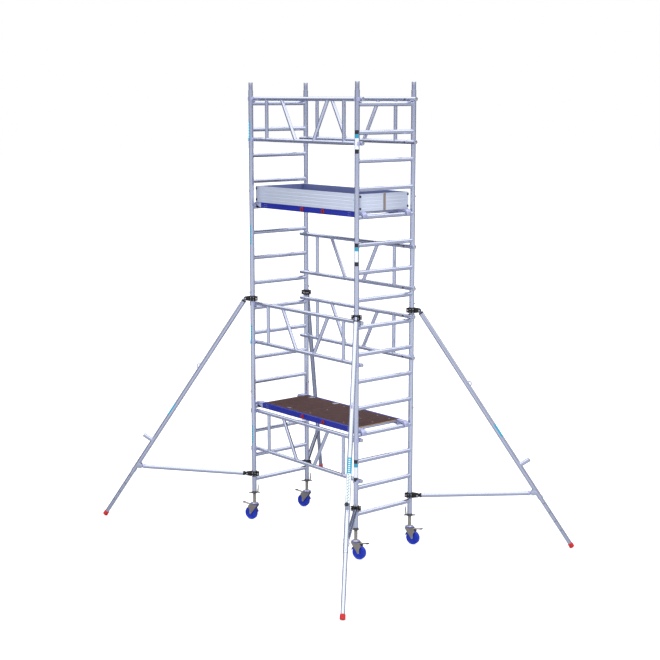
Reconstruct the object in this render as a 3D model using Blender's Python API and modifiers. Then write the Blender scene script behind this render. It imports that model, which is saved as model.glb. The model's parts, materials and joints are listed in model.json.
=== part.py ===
"""Rolling aluminium scaffold tower: ladder end frames on castors, two hatch platforms, guardrails, toe boards
and four outrigger stabilisers.

Frame: X along the tower's length, Y across it, Z up; the origin is the middle of the tower on the ground.
"""

import math

import bmesh
import bpy
from mathutils import Matrix, Vector

# --- Tower grid -------------------------------------------------------------------------------------------
TOWER_LENGTH = 1.755  # end frame to end frame, upright centres
TOWER_WIDTH = 0.765  # upright to upright within one end frame, centres
HALF_LENGTH = TOWER_LENGTH / 2
HALF_WIDTH = TOWER_WIDTH / 2
RUNG_PITCH = 0.280
RUNGS_PER_FRAME = 4
LIFTS = 4
FIRST_RUNG = 0.478  # lowest rung's axis above the ground
FRAME_HEIGHT = RUNGS_PER_FRAME * RUNG_PITCH
FRAME_BASE = FIRST_RUNG - RUNG_PITCH / 2

# --- Tubes of the end frames ------------------------------------------------------------------------------
UPRIGHT_RADIUS = 0.0254
UPRIGHT_WALL = 0.0025
UPRIGHT_BORE = UPRIGHT_RADIUS - UPRIGHT_WALL
RUNG_RADIUS = 0.0230
RUNG_WALL = 0.0025
SPIGOT_HEIGHT = 0.085
SPIGOT_SEAT = 0.060  # length of spigot fixed inside its own upright
SPIGOT_WALL = 0.0030
SPIGOT_CLEARANCE = 0.0006
SPIGOT_RADIUS = UPRIGHT_BORE - SPIGOT_CLEARANCE
SPIGOT_CHAMFER = 0.006
UPRIGHT_SIDES = 8
RUNG_SIDES = 6

GAP = 0.0003  # between pieces that touch

# --- Guardrails -------------------------------------------------------------------------------------------
GUARD_RADIUS = 0.0210
GUARD_WALL = 0.0020
GUARD_POST_RADIUS = 0.0190
GUARD_DROP = 0.435  # upper tube to lower tube
GUARD_LONG_END = 0.0895  # tube end past the upright's axis, at one end
GUARD_SHORT_END = 0.0355  # and at the other
GUARD_POSTS = (0.2215 - HALF_LENGTH, HALF_LENGTH - 0.2575)  # posts' distances from the end frames
GUARD_BRACE_TOPS = (-0.398, 0.371)
GUARD_BRACE_FEET = (-0.160, 0.133)
GUARD_SIDE_GAP = 0.0008  # tube to upright
GUARD_OVER = RUNG_RADIUS + GUARD_RADIUS + 0.004  # upper tube's axis over a rung's, when it lies above it
GUARD_UNDER = RUNG_RADIUS + GUARD_RADIUS + 0.010  # and under it, when it hangs below it
GUARD_UNDER_HIGH = RUNG_RADIUS + GUARD_RADIUS + 0.016  # the same for the high one at the back
CLAW_WALL = 0.0075
CLAW_HEIGHT = 0.038
CLAW_GAP = 0.0005
CLAW_MOUTH = 0.8  # mouth's width as a share of the bore's
GUARD_SIDES = 6
POST_SIDES = 6
GUARDRAILS = (  # name, side, height of the upper tube over a rung, that rung's number from the ground
    ("guardrail_front_low", -1, -GUARD_UNDER, 4),
    ("guardrail_front_middle", -1, GUARD_OVER, 8),
    ("guardrail_back_middle", 1, GUARD_OVER, 8),
    ("guardrail_back_high", 1, -GUARD_UNDER_HIGH, 11),
    ("guardrail_front_top", -1, GUARD_OVER, 16),
    ("guardrail_back_top", 1, GUARD_OVER, 16),
)

# --- Platforms --------------------------------------------------------------------------------------------
PLATFORM_RUNGS = (("lower", 4), ("upper", 12))
PLATFORM_END_GAP = 0.0975  # rail's end to the rung's axis
PLATFORM_SIDE_GAP = 0.0271  # rail to upright
PLATFORM_HALF_LENGTH = HALF_LENGTH - PLATFORM_END_GAP
PLATFORM_HALF_WIDTH = HALF_WIDTH - UPRIGHT_RADIUS - PLATFORM_SIDE_GAP
RAIL_WIDTH = 0.030
RAIL_HEIGHT = 0.060
RAIL_WALL = 0.003
RAIL_BELOW_RUNG = 0.008  # rail's lower edge under the rung's axis
DECK_THICKNESS = 0.010
CROSS_BAR_WIDTH = 0.030
CROSS_BAR_HEIGHT = 0.022
HOOK_WIDTH = 0.060
HOOK_LIP = 0.012  # thickness of the hook's jaw round the rung
HOOK_CLEARANCE = 0.0008
HOOK_SHOULDER = 0.35  # where the hook's top starts to slope, as a share of its outer radius
HOOK_NOSE = 0.55  # height where the slope ends, as a share of the same
JAW_STEPS = 8
HATCH_END_MARGIN = 0.040  # hatch to the rail's end
HATCH_FRONT_MARGIN = 0.035  # hatch to the front rail
HATCH_BACK_MARGIN = 0.025  # hatch to the back rail
HATCH_LENGTH = 0.610
HATCH_LOW_X = HATCH_END_MARGIN - PLATFORM_HALF_LENGTH
HATCH_FRONT_Y = HATCH_FRONT_MARGIN - (PLATFORM_HALF_WIDTH - RAIL_WIDTH)
HATCH_WIDTH = 2 * (PLATFORM_HALF_WIDTH - RAIL_WIDTH) - HATCH_FRONT_MARGIN - HATCH_BACK_MARGIN
HATCH_GAP = 0.003
HATCH_AXIS_BACK = 0.006  # hinge axis behind the hatch's edge
HATCH_AXIS_UP = 0.003  # and above the deck
CROSS_BARS = (  # the first past the hatch's end, the others from the rail's end
    HATCH_LOW_X + HATCH_LENGTH + 0.086,
    PLATFORM_HALF_LENGTH - 0.269,
    PLATFORM_HALF_LENGTH - 0.082,
)
KNOB_PLACES = (-0.062, 0.285)
KNOB_RADIUS = 0.024
KNOB_DEPTH = 0.014

# --- Toe boards -------------------------------------------------------------------------------------------
TOE_HEIGHT = 0.175
TOE_THICKNESS = 0.020
TOE_HALF_LENGTH = HALF_LENGTH - 0.0125  # board's outer face short of the rung's axis
TOE_HALF_WIDTH = PLATFORM_HALF_WIDTH + 0.005  # board's outer face past the rail's
TOE_RISE = 0.001  # over the platform

# --- Adjustable legs and castors --------------------------------------------------------------------------
SPINDLE_RADIUS = 0.0180
SPINDLE_BORE = 0.0130
SPINDLE_TOP = 0.760
PLATE_RADIUS = 0.046
PLATE_THICKNESS = 0.009
NUT_HEIGHT = 0.026
NUT_RADIUS = 0.034
NUT_CLEARANCE = 0.0006
NUT_WING = 0.064  # wing tip from the axis
NUT_WING_WIDTH = 0.016
NUT_WING_THICKNESS = 0.010
NUT_LEVER = 0.074  # height of the upstanding lever
NUT_LEVER_WIDTH = 0.0144
WHEEL_RADIUS = 0.075
WHEEL_WIDTH = 0.042
WHEEL_TRAIL = 0.042  # axle behind the swivel axis
WHEEL_RISE = 0.0003  # tyre over the ground
WHEEL_RIM = 0.74  # rim's radius as a share of the wheel's
WHEEL_TREAD = 0.7  # tread's width as a share of the wheel's
WHEEL_WEB = 0.6  # web's thickness as a share of the wheel's width
AXLE_HEIGHT = WHEEL_RADIUS + WHEEL_RISE
CASTOR_TOP = AXLE_HEIGHT + WHEEL_RADIUS + 0.0447  # swivel plate's upper face, set by its height over the tyre
CASTOR_HEADING = 20  # degrees the castors are swung from the tower's length
AXLE_RADIUS = 0.006
AXLE_CLEARANCE = 0.0004
KINGPIN_RADIUS = 0.008
KINGPIN_HEAD = 0.013
CROWN_THICKNESS = 0.008
CROWN_CLEARANCE = 0.0004
FORK_CLEARANCE = 0.0035  # wheel to fork cheek
FORK_WALL = 0.004
FORK_HUB = 0.013
FORK_HUB_STEPS = 6
FORK_FLARE = 1.2  # cheek's rear edge under the pedal, as a share of the hub's radius
PEDAL_PIVOT_X = 0.052
PEDAL_LENGTH = 0.104
PEDAL_WIDTH = 0.036
PEDAL_THICKNESS = 0.006
PEDAL_HUB = 0.008
PEDAL_PIVOT_Z = AXLE_HEIGHT + WHEEL_RADIUS + PEDAL_HUB + 0.0137  # set by its hub's height over the tyre
PEDAL_RISE = 8.0  # degrees
WHEEL_SIDES = 16

# --- Stabilisers ------------------------------------------------------------------------------------------
UPPER_CLAMP_RUNG = 8
UPPER_CLAMP_RISE = 0.106  # over that rung's axis
LOWER_CLAMP_RISE = 0.062  # over the first rung's axis
CLAMP_HEIGHT = 0.058
CLAMP_WALL = 0.012
CLAMP_GAP = 0.0006
FLANGE_REACH = 0.055  # clamping flange's end from the upright's axis
FLANGE_THICKNESS = 0.026
CLAMP_PIVOT = 0.079  # pivot from the upright's axis
EAR_GAP = 0.027
EAR_WALL = 0.008
EAR_RADIUS = 0.020
PIVOT_PIN_RADIUS = 0.006
PIVOT_PIN_CLEARANCE = 0.0005
LUG_RADIUS = 0.019
FOOT_REACH = 1.745  # foot from the corner upright's axis
LEG_RADIUS = 0.0250
LEG_WALL = 0.0022
LEG_START = 0.030  # tube's end from the pivot
LEG_LENGTH = 2.400  # pivot to the end of the outer tube
INNER_CLEARANCE = 0.0006
INNER_WALL = 0.0022
INNER_ENGAGEMENT = 0.500  # inner tube's length inside the outer one
FOOT_RADIUS = 0.031
FOOT_LENGTH = 0.066
HANDLE_PLACE = 1.968  # along the leg from the pivot
HANDLE_RADIUS = 0.0235
HANDLE_LENGTH = 0.100
BRACKET_PLACE = 2.299
BRACKET_LENGTH = 0.086
BRACKET_WALL = 0.004
BRACKET_DROP = 0.046  # arm's pivot off the leg's axis
BRACKET_RISE = 0.0175  # upper edge off the leg's axis
BRACKET_NOSE = 0.018  # half width at the pivot
ARM_RADIUS = 0.0235
HOLE_RADIUS = 0.0060
HOLE_PITCH = 0.115
HOLE_COUNT = 4
HOLE_FIRST = 0.055  # first hole past the outer tube's end

# --- Whole tower ------------------------------------------------------------------------------------------
CORNERS = (
    ("front_left", -1, -1),
    ("front_right", 1, -1),
    ("back_left", -1, 1),
    ("back_right", 1, 1),
)
NUT_HEADINGS = {"front_left": 50, "front_right": 140, "back_left": 50, "back_right": 230}
OVERLAP = 0.002  # how far joined shapes run into each other
PAST = 0.010  # how far a cutter runs past what it cuts
SMOOTH_ANGLE = 40  # degrees; sharper edges stay sharp


# --- Scene and materials ----------------------------------------------------------------------------------
def clear_scene():
    for item in list(bpy.data.objects):
        bpy.data.objects.remove(item, do_unlink=True)


def linear(red, green, blue):
    """Colour given as 0-255 screen values, as linear values."""
    return tuple((value / 255) ** 2.2 for value in (red, green, blue)) + (1.0,)


def finish(name, screen_colour, roughness, metallic):
    made = bpy.data.materials.new(name)
    made.use_nodes = True
    shader = made.node_tree.nodes["Principled BSDF"]
    shader.inputs["Base Color"].default_value = linear(*screen_colour)
    shader.inputs["Roughness"].default_value = roughness
    shader.inputs["Metallic"].default_value = metallic
    return made


# --- Shapes: each function returns a bmesh ----------------------------------------------------------------
def rod(start, end, radius, sides):
    """A solid round bar between two points."""
    start, end = Vector(start), Vector(end)
    turn = (end - start).to_track_quat("Z", "Y").to_matrix().to_4x4()
    shape = bmesh.new()
    bmesh.ops.create_cone(
        shape,
        cap_ends=True,
        segments=sides,
        radius1=radius,
        radius2=radius,
        depth=(end - start).length,
        matrix=Matrix.Translation((start + end) / 2) @ turn,
    )
    return shape


def block(low, high):
    """A box between two corners."""
    low, high = Vector(low), Vector(high)
    size = Matrix.Diagonal((*(high - low), 1))
    shape = bmesh.new()
    bmesh.ops.create_cube(shape, size=1, matrix=Matrix.Translation((low + high) / 2) @ size)
    return shape


def evaluated(item):
    """The object's mesh with its modifiers, as a bmesh; the object is removed."""
    graph = bpy.context.evaluated_depsgraph_get()
    mesh = bpy.data.meshes.new_from_object(item.evaluated_get(graph))
    shape = bmesh.new()
    shape.from_mesh(mesh)
    bmesh.ops.remove_doubles(shape, verts=shape.verts, dist=1e-6)
    bpy.data.meshes.remove(mesh)
    bpy.data.objects.remove(item, do_unlink=True)
    return shape


def turned(profile, steps, closed=False):
    """A solid of revolution about Z; the profile is (radius, height) pairs, down its outer side."""
    mesh = bpy.data.meshes.new("profile")
    edges = [(i, i + 1) for i in range(len(profile) - 1)]
    if closed:
        edges.append((len(profile) - 1, 0))
    mesh.from_pydata([(radius, 0, height) for radius, height in profile], edges, [])
    item = bpy.data.objects.new("profile", mesh)
    bpy.context.scene.collection.objects.link(item)
    screw = item.modifiers.new("turn", "SCREW")
    screw.axis = "Z"
    screw.steps = screw.render_steps = steps
    screw.use_merge_vertices = True
    screw.merge_threshold = 1e-5
    return evaluated(item)


def plate(outline, thickness, place):
    """A flat plate: a closed outline in its XY plane, thickened evenly both ways, then placed."""
    curve = bpy.data.curves.new("outline", "CURVE")
    curve.dimensions = "2D"
    curve.fill_mode = "BOTH"
    curve.extrude = thickness / 2
    line = curve.splines.new("POLY")
    line.points.add(len(outline) - 1)
    for point, (x, y) in zip(line.points, outline):
        point.co = (x, y, 0, 1)
    line.use_cyclic_u = True
    item = bpy.data.objects.new("outline", curve)
    bpy.context.scene.collection.objects.link(item)
    shape = evaluated(item)
    bmesh.ops.recalc_face_normals(shape, faces=shape.faces)
    shape.transform(place)
    return shape


def running_bore(radius, clearance, sides):
    """Radius of a faceted bore whose flats clear a bar of the given radius at any angle."""
    return (radius + clearance) / math.cos(math.pi / sides)


def arc(centre, radius, start, end, steps):
    """Points on an arc, angles in degrees."""
    turns = [math.radians(start + (end - start) * i / steps) for i in range(steps + 1)]
    return [(centre[0] + radius * math.cos(t), centre[1] + radius * math.sin(t)) for t in turns]


def helper(shapes):
    """One hidden object that holds all the shapes."""
    mesh = bpy.data.meshes.new("helper")
    whole = bmesh.new()
    for shape in shapes:
        piece = bpy.data.meshes.new("piece")
        shape.to_mesh(piece)
        shape.free()
        whole.from_mesh(piece)
        bpy.data.meshes.remove(piece)
    whole.to_mesh(mesh)
    whole.free()
    item = bpy.data.objects.new("helper", mesh)
    item.hide_render = True
    item.display_type = "WIRE"
    bpy.context.scene.collection.objects.link(item)
    return item


def combine(item, operation, shapes):
    other = helper(shapes)
    step = item.modifiers.new(operation.lower(), "BOOLEAN")
    step.operation = operation
    step.object = other
    step.use_self = True
    return other


def solid(name, adds, cuts=()):
    """One closed mesh: the shapes of adds joined, less the shapes of cuts."""
    item = helper(adds[:1])
    others = [combine(item, "UNION", adds[1:])] if len(adds) > 1 else []
    if cuts:
        others.append(combine(item, "DIFFERENCE", cuts))
    shape = evaluated(item)
    for other in others:
        bpy.data.objects.remove(other, do_unlink=True)
    mesh = bpy.data.meshes.new(name)
    shape.to_mesh(mesh)
    shape.free()
    mesh.shade_smooth()
    mesh.set_sharp_from_angle(angle=math.radians(SMOOTH_ANGLE))
    return mesh


def shape_of(mesh):
    """A finished mesh as a shape again, to be joined into another; the mesh is removed."""
    shape = bmesh.new()
    shape.from_mesh(mesh)
    bpy.data.meshes.remove(mesh)
    return shape


# --- Placing ----------------------------------------------------------------------------------------------
def node(name, mesh, material, location=(0, 0, 0), heading=0.0, parent=None):
    """A named object showing a mesh, which its copies may share."""
    if not mesh.materials:
        mesh.materials.append(material)
    item = bpy.data.objects.new(name, mesh)
    item.location = location
    item.rotation_euler.z = math.radians(heading)
    item.parent = parent
    tower.objects.link(item)
    return item


def holder(name, location, heading):
    """An empty that pieces are parented to."""
    item = bpy.data.objects.new(name, None)
    item.location = location
    item.rotation_euler.z = math.radians(heading)
    tower.objects.link(item)
    return item


# --- End frames -------------------------------------------------------------------------------------------
def upright_shape(y):
    """A solid upright with its spigot, its lower end at z = 0."""
    profile = [
        (0, FRAME_HEIGHT + SPIGOT_HEIGHT),
        (SPIGOT_RADIUS - SPIGOT_CHAMFER / 2, FRAME_HEIGHT + SPIGOT_HEIGHT),
        (SPIGOT_RADIUS, FRAME_HEIGHT + SPIGOT_HEIGHT - SPIGOT_CHAMFER),
        (SPIGOT_RADIUS, FRAME_HEIGHT - GAP),
        (UPRIGHT_RADIUS, FRAME_HEIGHT - GAP),
        (UPRIGHT_RADIUS, 0),
        (0, 0),
    ]
    shape = turned(profile, UPRIGHT_SIDES)
    shape.transform(Matrix.Translation((0, y, 0)))
    return shape


def end_frame_mesh():
    """Two uprights with spigots and the rungs between them, all tube, open from end to end."""
    rungs = [RUNG_PITCH * (i + 0.5) for i in range(RUNGS_PER_FRAME)]
    adds, cuts = [], []
    for side in (-1, 1):
        y = side * HALF_WIDTH
        adds.append(upright_shape(y))
        seat = FRAME_HEIGHT - SPIGOT_SEAT
        top = FRAME_HEIGHT + SPIGOT_HEIGHT + PAST
        cuts.append(rod((0, y, -PAST), (0, y, seat), UPRIGHT_BORE, UPRIGHT_SIDES))
        spigot_bore = SPIGOT_RADIUS - SPIGOT_WALL
        cuts.append(rod((0, y, seat - SPIGOT_SEAT), (0, y, top), spigot_bore, UPRIGHT_SIDES))
    for z in rungs:
        start, end = (0, -HALF_WIDTH, z), (0, HALF_WIDTH, z)
        adds.append(rod(start, end, RUNG_RADIUS, RUNG_SIDES))
        cuts.append(rod(start, end, RUNG_RADIUS - RUNG_WALL, RUNG_SIDES))
    return solid("end_frame", adds, cuts)


def make_end_frames():
    mesh = end_frame_mesh()
    for lift in range(LIFTS):
        for side_name, side in (("left", -1), ("right", 1)):
            place = (side * HALF_LENGTH, 0, FRAME_BASE + lift * FRAME_HEIGHT)
            node(f"end_frame_{lift + 1}_{side_name}", mesh, ALUMINIUM, place)


def rung_height(number):
    """Axis height of a rung, counted from the ground."""
    return FIRST_RUNG + (number - 1) * RUNG_PITCH


# --- Guardrails -------------------------------------------------------------------------------------------
GUARD_Y = HALF_WIDTH - UPRIGHT_RADIUS - GUARD_RADIUS - GUARD_SIDE_GAP


def claw_shapes(x, z):
    """A C-shaped claw round an upright: a ring, and the cutters that bore and open it on the outer side."""
    y = -(HALF_WIDTH - GUARD_Y)
    bore = UPRIGHT_RADIUS + CLAW_GAP
    outer = bore + CLAW_WALL
    low, high = z - CLAW_HEIGHT / 2, z + CLAW_HEIGHT / 2
    ring = rod((x, y, low), (x, y, high), outer, UPRIGHT_SIDES)
    hole = rod((x, y, low - PAST), (x, y, high + PAST), bore, UPRIGHT_SIDES)
    half = bore * CLAW_MOUTH
    mouth = block((x - half, y - 2 * outer, low - PAST), (x + half, y, high + PAST))
    return ring, (hole, mouth)


def guardrail_mesh():
    """Two tubes with claws, two posts and two braces; the front side's outer face is at -Y."""
    low_x = -HALF_LENGTH - GUARD_LONG_END
    high_x = HALF_LENGTH + GUARD_SHORT_END
    bore = GUARD_RADIUS - GUARD_WALL
    adds, cuts, bores = [], [], []
    for z in (0, -GUARD_DROP):
        adds.append(rod((low_x, 0, z), (high_x, 0, z), GUARD_RADIUS, GUARD_SIDES))
        bores.append(rod((low_x - PAST, 0, z), (high_x + PAST, 0, z), bore, GUARD_SIDES))
        for x in (-HALF_LENGTH, HALF_LENGTH):
            ring, openings = claw_shapes(x, z)
            adds.append(ring)
            cuts.extend(openings)
    members = list(zip(GUARD_POSTS, GUARD_POSTS)) + list(zip(GUARD_BRACE_TOPS, GUARD_BRACE_FEET))
    for top, foot in members:
        start, end = (top, 0, 0), (foot, 0, -GUARD_DROP)
        adds.append(rod(start, end, GUARD_POST_RADIUS, POST_SIDES))
        cuts.append(rod(start, end, GUARD_POST_RADIUS - GUARD_WALL, POST_SIDES))
    return solid("guardrail", adds, cuts + bores)


def make_guardrails():
    mesh = guardrail_mesh()
    for name, side, rise, rung in GUARDRAILS:
        place = (0, side * GUARD_Y, rung_height(rung) + rise)
        node(name, mesh, ALUMINIUM, place, heading=90 + 90 * side)


# --- Platforms --------------------------------------------------------------------------------------------
def hook_outline():
    """A hook head seen from the side: X towards the end frame from the rung's axis, Y up from it."""
    jaw = RUNG_RADIUS + HOOK_CLEARANCE
    outer = jaw + HOOK_LIP
    back = HALF_LENGTH - PLATFORM_HALF_LENGTH + OVERLAP
    top = RAIL_HEIGHT - RAIL_BELOW_RUNG
    bottom = -RAIL_BELOW_RUNG
    outside = [(-back, bottom), (-back, top), (outer * HOOK_SHOULDER, top)]
    outside += [(outer, outer * HOOK_NOSE), (outer, bottom), (jaw, bottom)]
    return outside + arc((0, 0), jaw, 0, 180, JAW_STEPS) + [(-jaw, bottom)]


def hook_shapes():
    """Four hook heads, two at each end of the platform; z = 0 at the rung's axis."""
    shapes = []
    outline = hook_outline()
    for end in (-1, 1):
        for side in (-1, 1):
            y = side * (PLATFORM_HALF_WIDTH - HOOK_WIDTH / 2)
            upright = Matrix.Rotation(math.radians(90), 4, "X")
            turn = Matrix.Rotation(0 if end > 0 else math.pi, 4, "Z")
            place = Matrix.Translation((end * HALF_LENGTH, y, 0)) @ turn @ upright
            shapes.append(plate(outline, HOOK_WIDTH, place))
    return shapes


def rail_outline(side):
    """A channel section in Y and Z, its web outside and its flanges towards the deck."""
    low, high = -RAIL_BELOW_RUNG, RAIL_HEIGHT - RAIL_BELOW_RUNG
    outer, inner = PLATFORM_HALF_WIDTH, PLATFORM_HALF_WIDTH - RAIL_WIDTH
    web = outer - RAIL_WALL
    points = [(outer, low), (outer, high), (inner, high), (inner, high - RAIL_WALL)]
    points += [(web, high - RAIL_WALL), (web, low + RAIL_WALL), (inner, low + RAIL_WALL), (inner, low)]
    return [(side * y, z) for y, z in points]


def platform_frame_mesh():
    """Side rails with their knobs, the cross bars under the deck and the hooks; z = 0 at the rung's axis."""
    length, width = PLATFORM_HALF_LENGTH, PLATFORM_HALF_WIDTH
    low, high = -RAIL_BELOW_RUNG, RAIL_HEIGHT - RAIL_BELOW_RUNG
    seat = high - DECK_THICKNESS - GAP
    along_x = Matrix(((0, 0, 1, 0), (1, 0, 0, 0), (0, 1, 0, 0), (0, 0, 0, 1)))
    adds = [plate(rail_outline(side), 2 * length, along_x) for side in (-1, 1)]
    middle = (low + high) / 2
    for x in KNOB_PLACES:
        root, face = (x, -width + OVERLAP, middle), (x, -width - KNOB_DEPTH, middle)
        adds.append(rod(root, face, KNOB_RADIUS, UPRIGHT_SIDES))
    reach = width - RAIL_WALL / 2
    half = CROSS_BAR_WIDTH / 2
    for x in (half - length,) + CROSS_BARS + (length - half,):
        adds.append(block((x - half, -reach, seat - CROSS_BAR_HEIGHT), (x + half, reach, seat)))
    return solid("platform_frame", adds + hook_shapes())


def deck_mesh():
    """The deck panel with its hatchway; z = 0 at the rung's axis."""
    top = RAIL_HEIGHT - RAIL_BELOW_RUNG
    length = PLATFORM_HALF_LENGTH - OVERLAP - GAP
    width = PLATFORM_HALF_WIDTH - RAIL_WIDTH - GAP
    panel = block((-length, -width, top - DECK_THICKNESS), (length, width, top))
    low = (HATCH_LOW_X - HATCH_GAP, HATCH_FRONT_Y - HATCH_GAP, top - DECK_THICKNESS - PAST)
    high = (
        HATCH_LOW_X + HATCH_LENGTH + HATCH_GAP,
        HATCH_FRONT_Y + HATCH_WIDTH + HATCH_GAP,
        top + PAST,
    )
    return solid("deck", [panel], [block(low, high)])


def hatch_mesh():
    """The hatch panel, with its origin on its hinge's axis at its low-X end."""
    low = (0, -HATCH_AXIS_BACK - HATCH_WIDTH, -HATCH_AXIS_UP - DECK_THICKNESS)
    high = (HATCH_LENGTH, -HATCH_AXIS_BACK, -HATCH_AXIS_UP)
    return solid("hatch", [block(low, high)])


def make_platforms():
    frame, deck, hatch = platform_frame_mesh(), deck_mesh(), hatch_mesh()
    for level, rung in PLATFORM_RUNGS:
        z = rung_height(rung)
        node(f"platform_frame_{level}", frame, BLUE_PAINT, (0, 0, z))
        node(f"deck_{level}", deck, DECK_BOARD, (0, 0, z))
        hinge_y = HATCH_FRONT_Y + HATCH_WIDTH + HATCH_AXIS_BACK
        hinge_z = z + RAIL_HEIGHT - RAIL_BELOW_RUNG + HATCH_AXIS_UP
        node(f"hatch_{level}", hatch, DECK_BOARD, (HATCH_LOW_X, hinge_y, hinge_z))


# --- Toe boards -------------------------------------------------------------------------------------------
def make_toe_boards():
    """Two side boards and, between them, two end boards, standing round the upper platform."""
    low, high = TOE_RISE, TOE_RISE + TOE_HEIGHT
    side_shape = block((-TOE_HALF_LENGTH, -TOE_THICKNESS, low), (TOE_HALF_LENGTH, 0, high))
    side_board = solid("toe_board_side", [side_shape])
    half = TOE_HALF_WIDTH - TOE_THICKNESS - GAP
    end_board = solid("toe_board_end", [block((-TOE_THICKNESS, -half, low), (0, half, high))])
    z = rung_height(dict(PLATFORM_RUNGS)["upper"]) + RAIL_HEIGHT - RAIL_BELOW_RUNG
    node("toe_board_back", side_board, TOE_METAL, (0, TOE_HALF_WIDTH, z))
    node("toe_board_front", side_board, TOE_METAL, (0, -TOE_HALF_WIDTH, z), heading=180)
    node("toe_board_right", end_board, TOE_METAL, (TOE_HALF_LENGTH, 0, z))
    node("toe_board_left", end_board, TOE_METAL, (-TOE_HALF_LENGTH, 0, z), heading=180)


# --- Adjustable legs and castors --------------------------------------------------------------------------
CROWN_TOP = CASTOR_TOP - PLATE_THICKNESS - GAP
CHEEK_INNER = WHEEL_WIDTH / 2 + FORK_CLEARANCE
CHEEK_OUTER = CHEEK_INNER + FORK_WALL


def spindle_mesh():
    """Hollow jack with the swivel plate at its foot and a kingpin with a head; z = 0 on the ground."""
    head_top = CROWN_TOP - CROWN_THICKNESS - GAP
    profile = [
        (0, CASTOR_TOP),
        (SPINDLE_BORE, CASTOR_TOP),
        (SPINDLE_BORE, SPINDLE_TOP),
        (SPINDLE_RADIUS, SPINDLE_TOP),
        (SPINDLE_RADIUS, CASTOR_TOP),
        (PLATE_RADIUS, CASTOR_TOP),
        (PLATE_RADIUS, CASTOR_TOP - PLATE_THICKNESS),
        (KINGPIN_RADIUS, CASTOR_TOP - PLATE_THICKNESS),
        (KINGPIN_RADIUS, head_top),
        (KINGPIN_HEAD, head_top),
        (KINGPIN_HEAD, head_top - PLATE_THICKNESS),
        (0, head_top - PLATE_THICKNESS),
    ]
    return solid("leg_spindle", [turned(profile, UPRIGHT_SIDES)])


def nut_mesh():
    """Adjusting nut with two flat wings and an upstanding lever; its origin is its upper face's centre."""
    low = -NUT_HEIGHT + OVERLAP
    body = rod((0, 0, -NUT_HEIGHT), (0, 0, 0), NUT_RADIUS, UPRIGHT_SIDES)
    half = NUT_WING_WIDTH / 2
    wings = block((-NUT_WING, -half, low), (NUT_WING, half, low + NUT_WING_THICKNESS))
    inner, half = NUT_RADIUS + NUT_WING_THICKNESS / 2, NUT_LEVER_WIDTH / 2
    lever = block((inner, -half, low + OVERLAP), (inner + NUT_WING_THICKNESS, half, NUT_LEVER))
    bore = running_bore(SPINDLE_RADIUS, NUT_CLEARANCE, UPRIGHT_SIDES)
    hole = rod((0, 0, -NUT_HEIGHT - PAST), (0, 0, PAST), bore, UPRIGHT_SIDES)
    return solid("adjusting_nut", [body, wings, lever], [hole])


def cheek_outline():
    """One cheek of the fork in X and Z, from the crown down to the hub."""
    half = PLATE_RADIUS - OVERLAP
    top = [(half, CROWN_TOP), (-half, CROWN_TOP), (-half, CROWN_TOP - 2 * CROWN_THICKNESS)]
    hub = arc((WHEEL_TRAIL, AXLE_HEIGHT), FORK_HUB, -170, 10, FORK_HUB_STEPS)
    return top + hub + [(WHEEL_TRAIL + FORK_HUB * FORK_FLARE, PEDAL_PIVOT_Z - PEDAL_HUB)]


def fork_mesh():
    """Crown, two cheeks and the axle between them; X trails the swivel axis, z = 0 on the ground."""
    stand = Matrix.Rotation(math.radians(90), 4, "X")
    adds = []
    for side in (-1, 1):
        place = Matrix.Translation((0, side * (CHEEK_INNER + CHEEK_OUTER) / 2, 0)) @ stand
        adds.append(plate(cheek_outline(), FORK_WALL, place))
    half = PLATE_RADIUS - 2 * OVERLAP
    crown_low = CROWN_TOP - CROWN_THICKNESS
    reach = CHEEK_OUTER - FORK_WALL / 4
    adds.append(block((-half, -reach, crown_low), (half, reach, CROWN_TOP - GAP)))
    axle_ends = (WHEEL_TRAIL, -reach, AXLE_HEIGHT), (WHEEL_TRAIL, reach, AXLE_HEIGHT)
    adds.append(rod(*axle_ends, AXLE_RADIUS, RUNG_SIDES))
    bore = running_bore(KINGPIN_RADIUS, CROWN_CLEARANCE, UPRIGHT_SIDES)
    hole = rod((0, 0, crown_low - PAST), (0, 0, CROWN_TOP + PAST), bore, UPRIGHT_SIDES)
    return solid("castor_fork", adds, [hole])


def wheel_mesh():
    """Wheel with a thinner web between hub and tyre; its origin is its centre, its axle along Y."""
    bore, half = running_bore(AXLE_RADIUS, AXLE_CLEARANCE, WHEEL_SIDES), WHEEL_WIDTH / 2
    rim, tread, web = WHEEL_RADIUS * WHEEL_RIM, half * WHEEL_TREAD, half * WHEEL_WEB
    profile = [(rim, half), (WHEEL_RADIUS, tread), (WHEEL_RADIUS, -tread), (rim, -half)]
    profile += [(FORK_HUB, -web), (bore, -half), (bore, half), (FORK_HUB, web)]
    shape = turned(profile, WHEEL_SIDES, closed=True)
    shape.transform(Matrix.Rotation(math.radians(90), 4, "X"))
    return solid("castor_wheel", [shape])


def pedal_mesh():
    """Brake pedal: a hub along Y on its pivot and a flat tread that rises a little outwards."""
    reach = CHEEK_INNER - FORK_CLEARANCE / 2
    adds = [rod((0, -reach, 0), (0, reach, 0), PEDAL_HUB, RUNG_SIDES)]
    half, thick = PEDAL_WIDTH / 2, PEDAL_THICKNESS / 2
    tread = block((0, -half, -thick), (PEDAL_LENGTH, half, thick))
    tread.transform(Matrix.Rotation(math.radians(-PEDAL_RISE), 4, "Y"))
    return solid("brake_pedal", adds + [tread])


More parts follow.
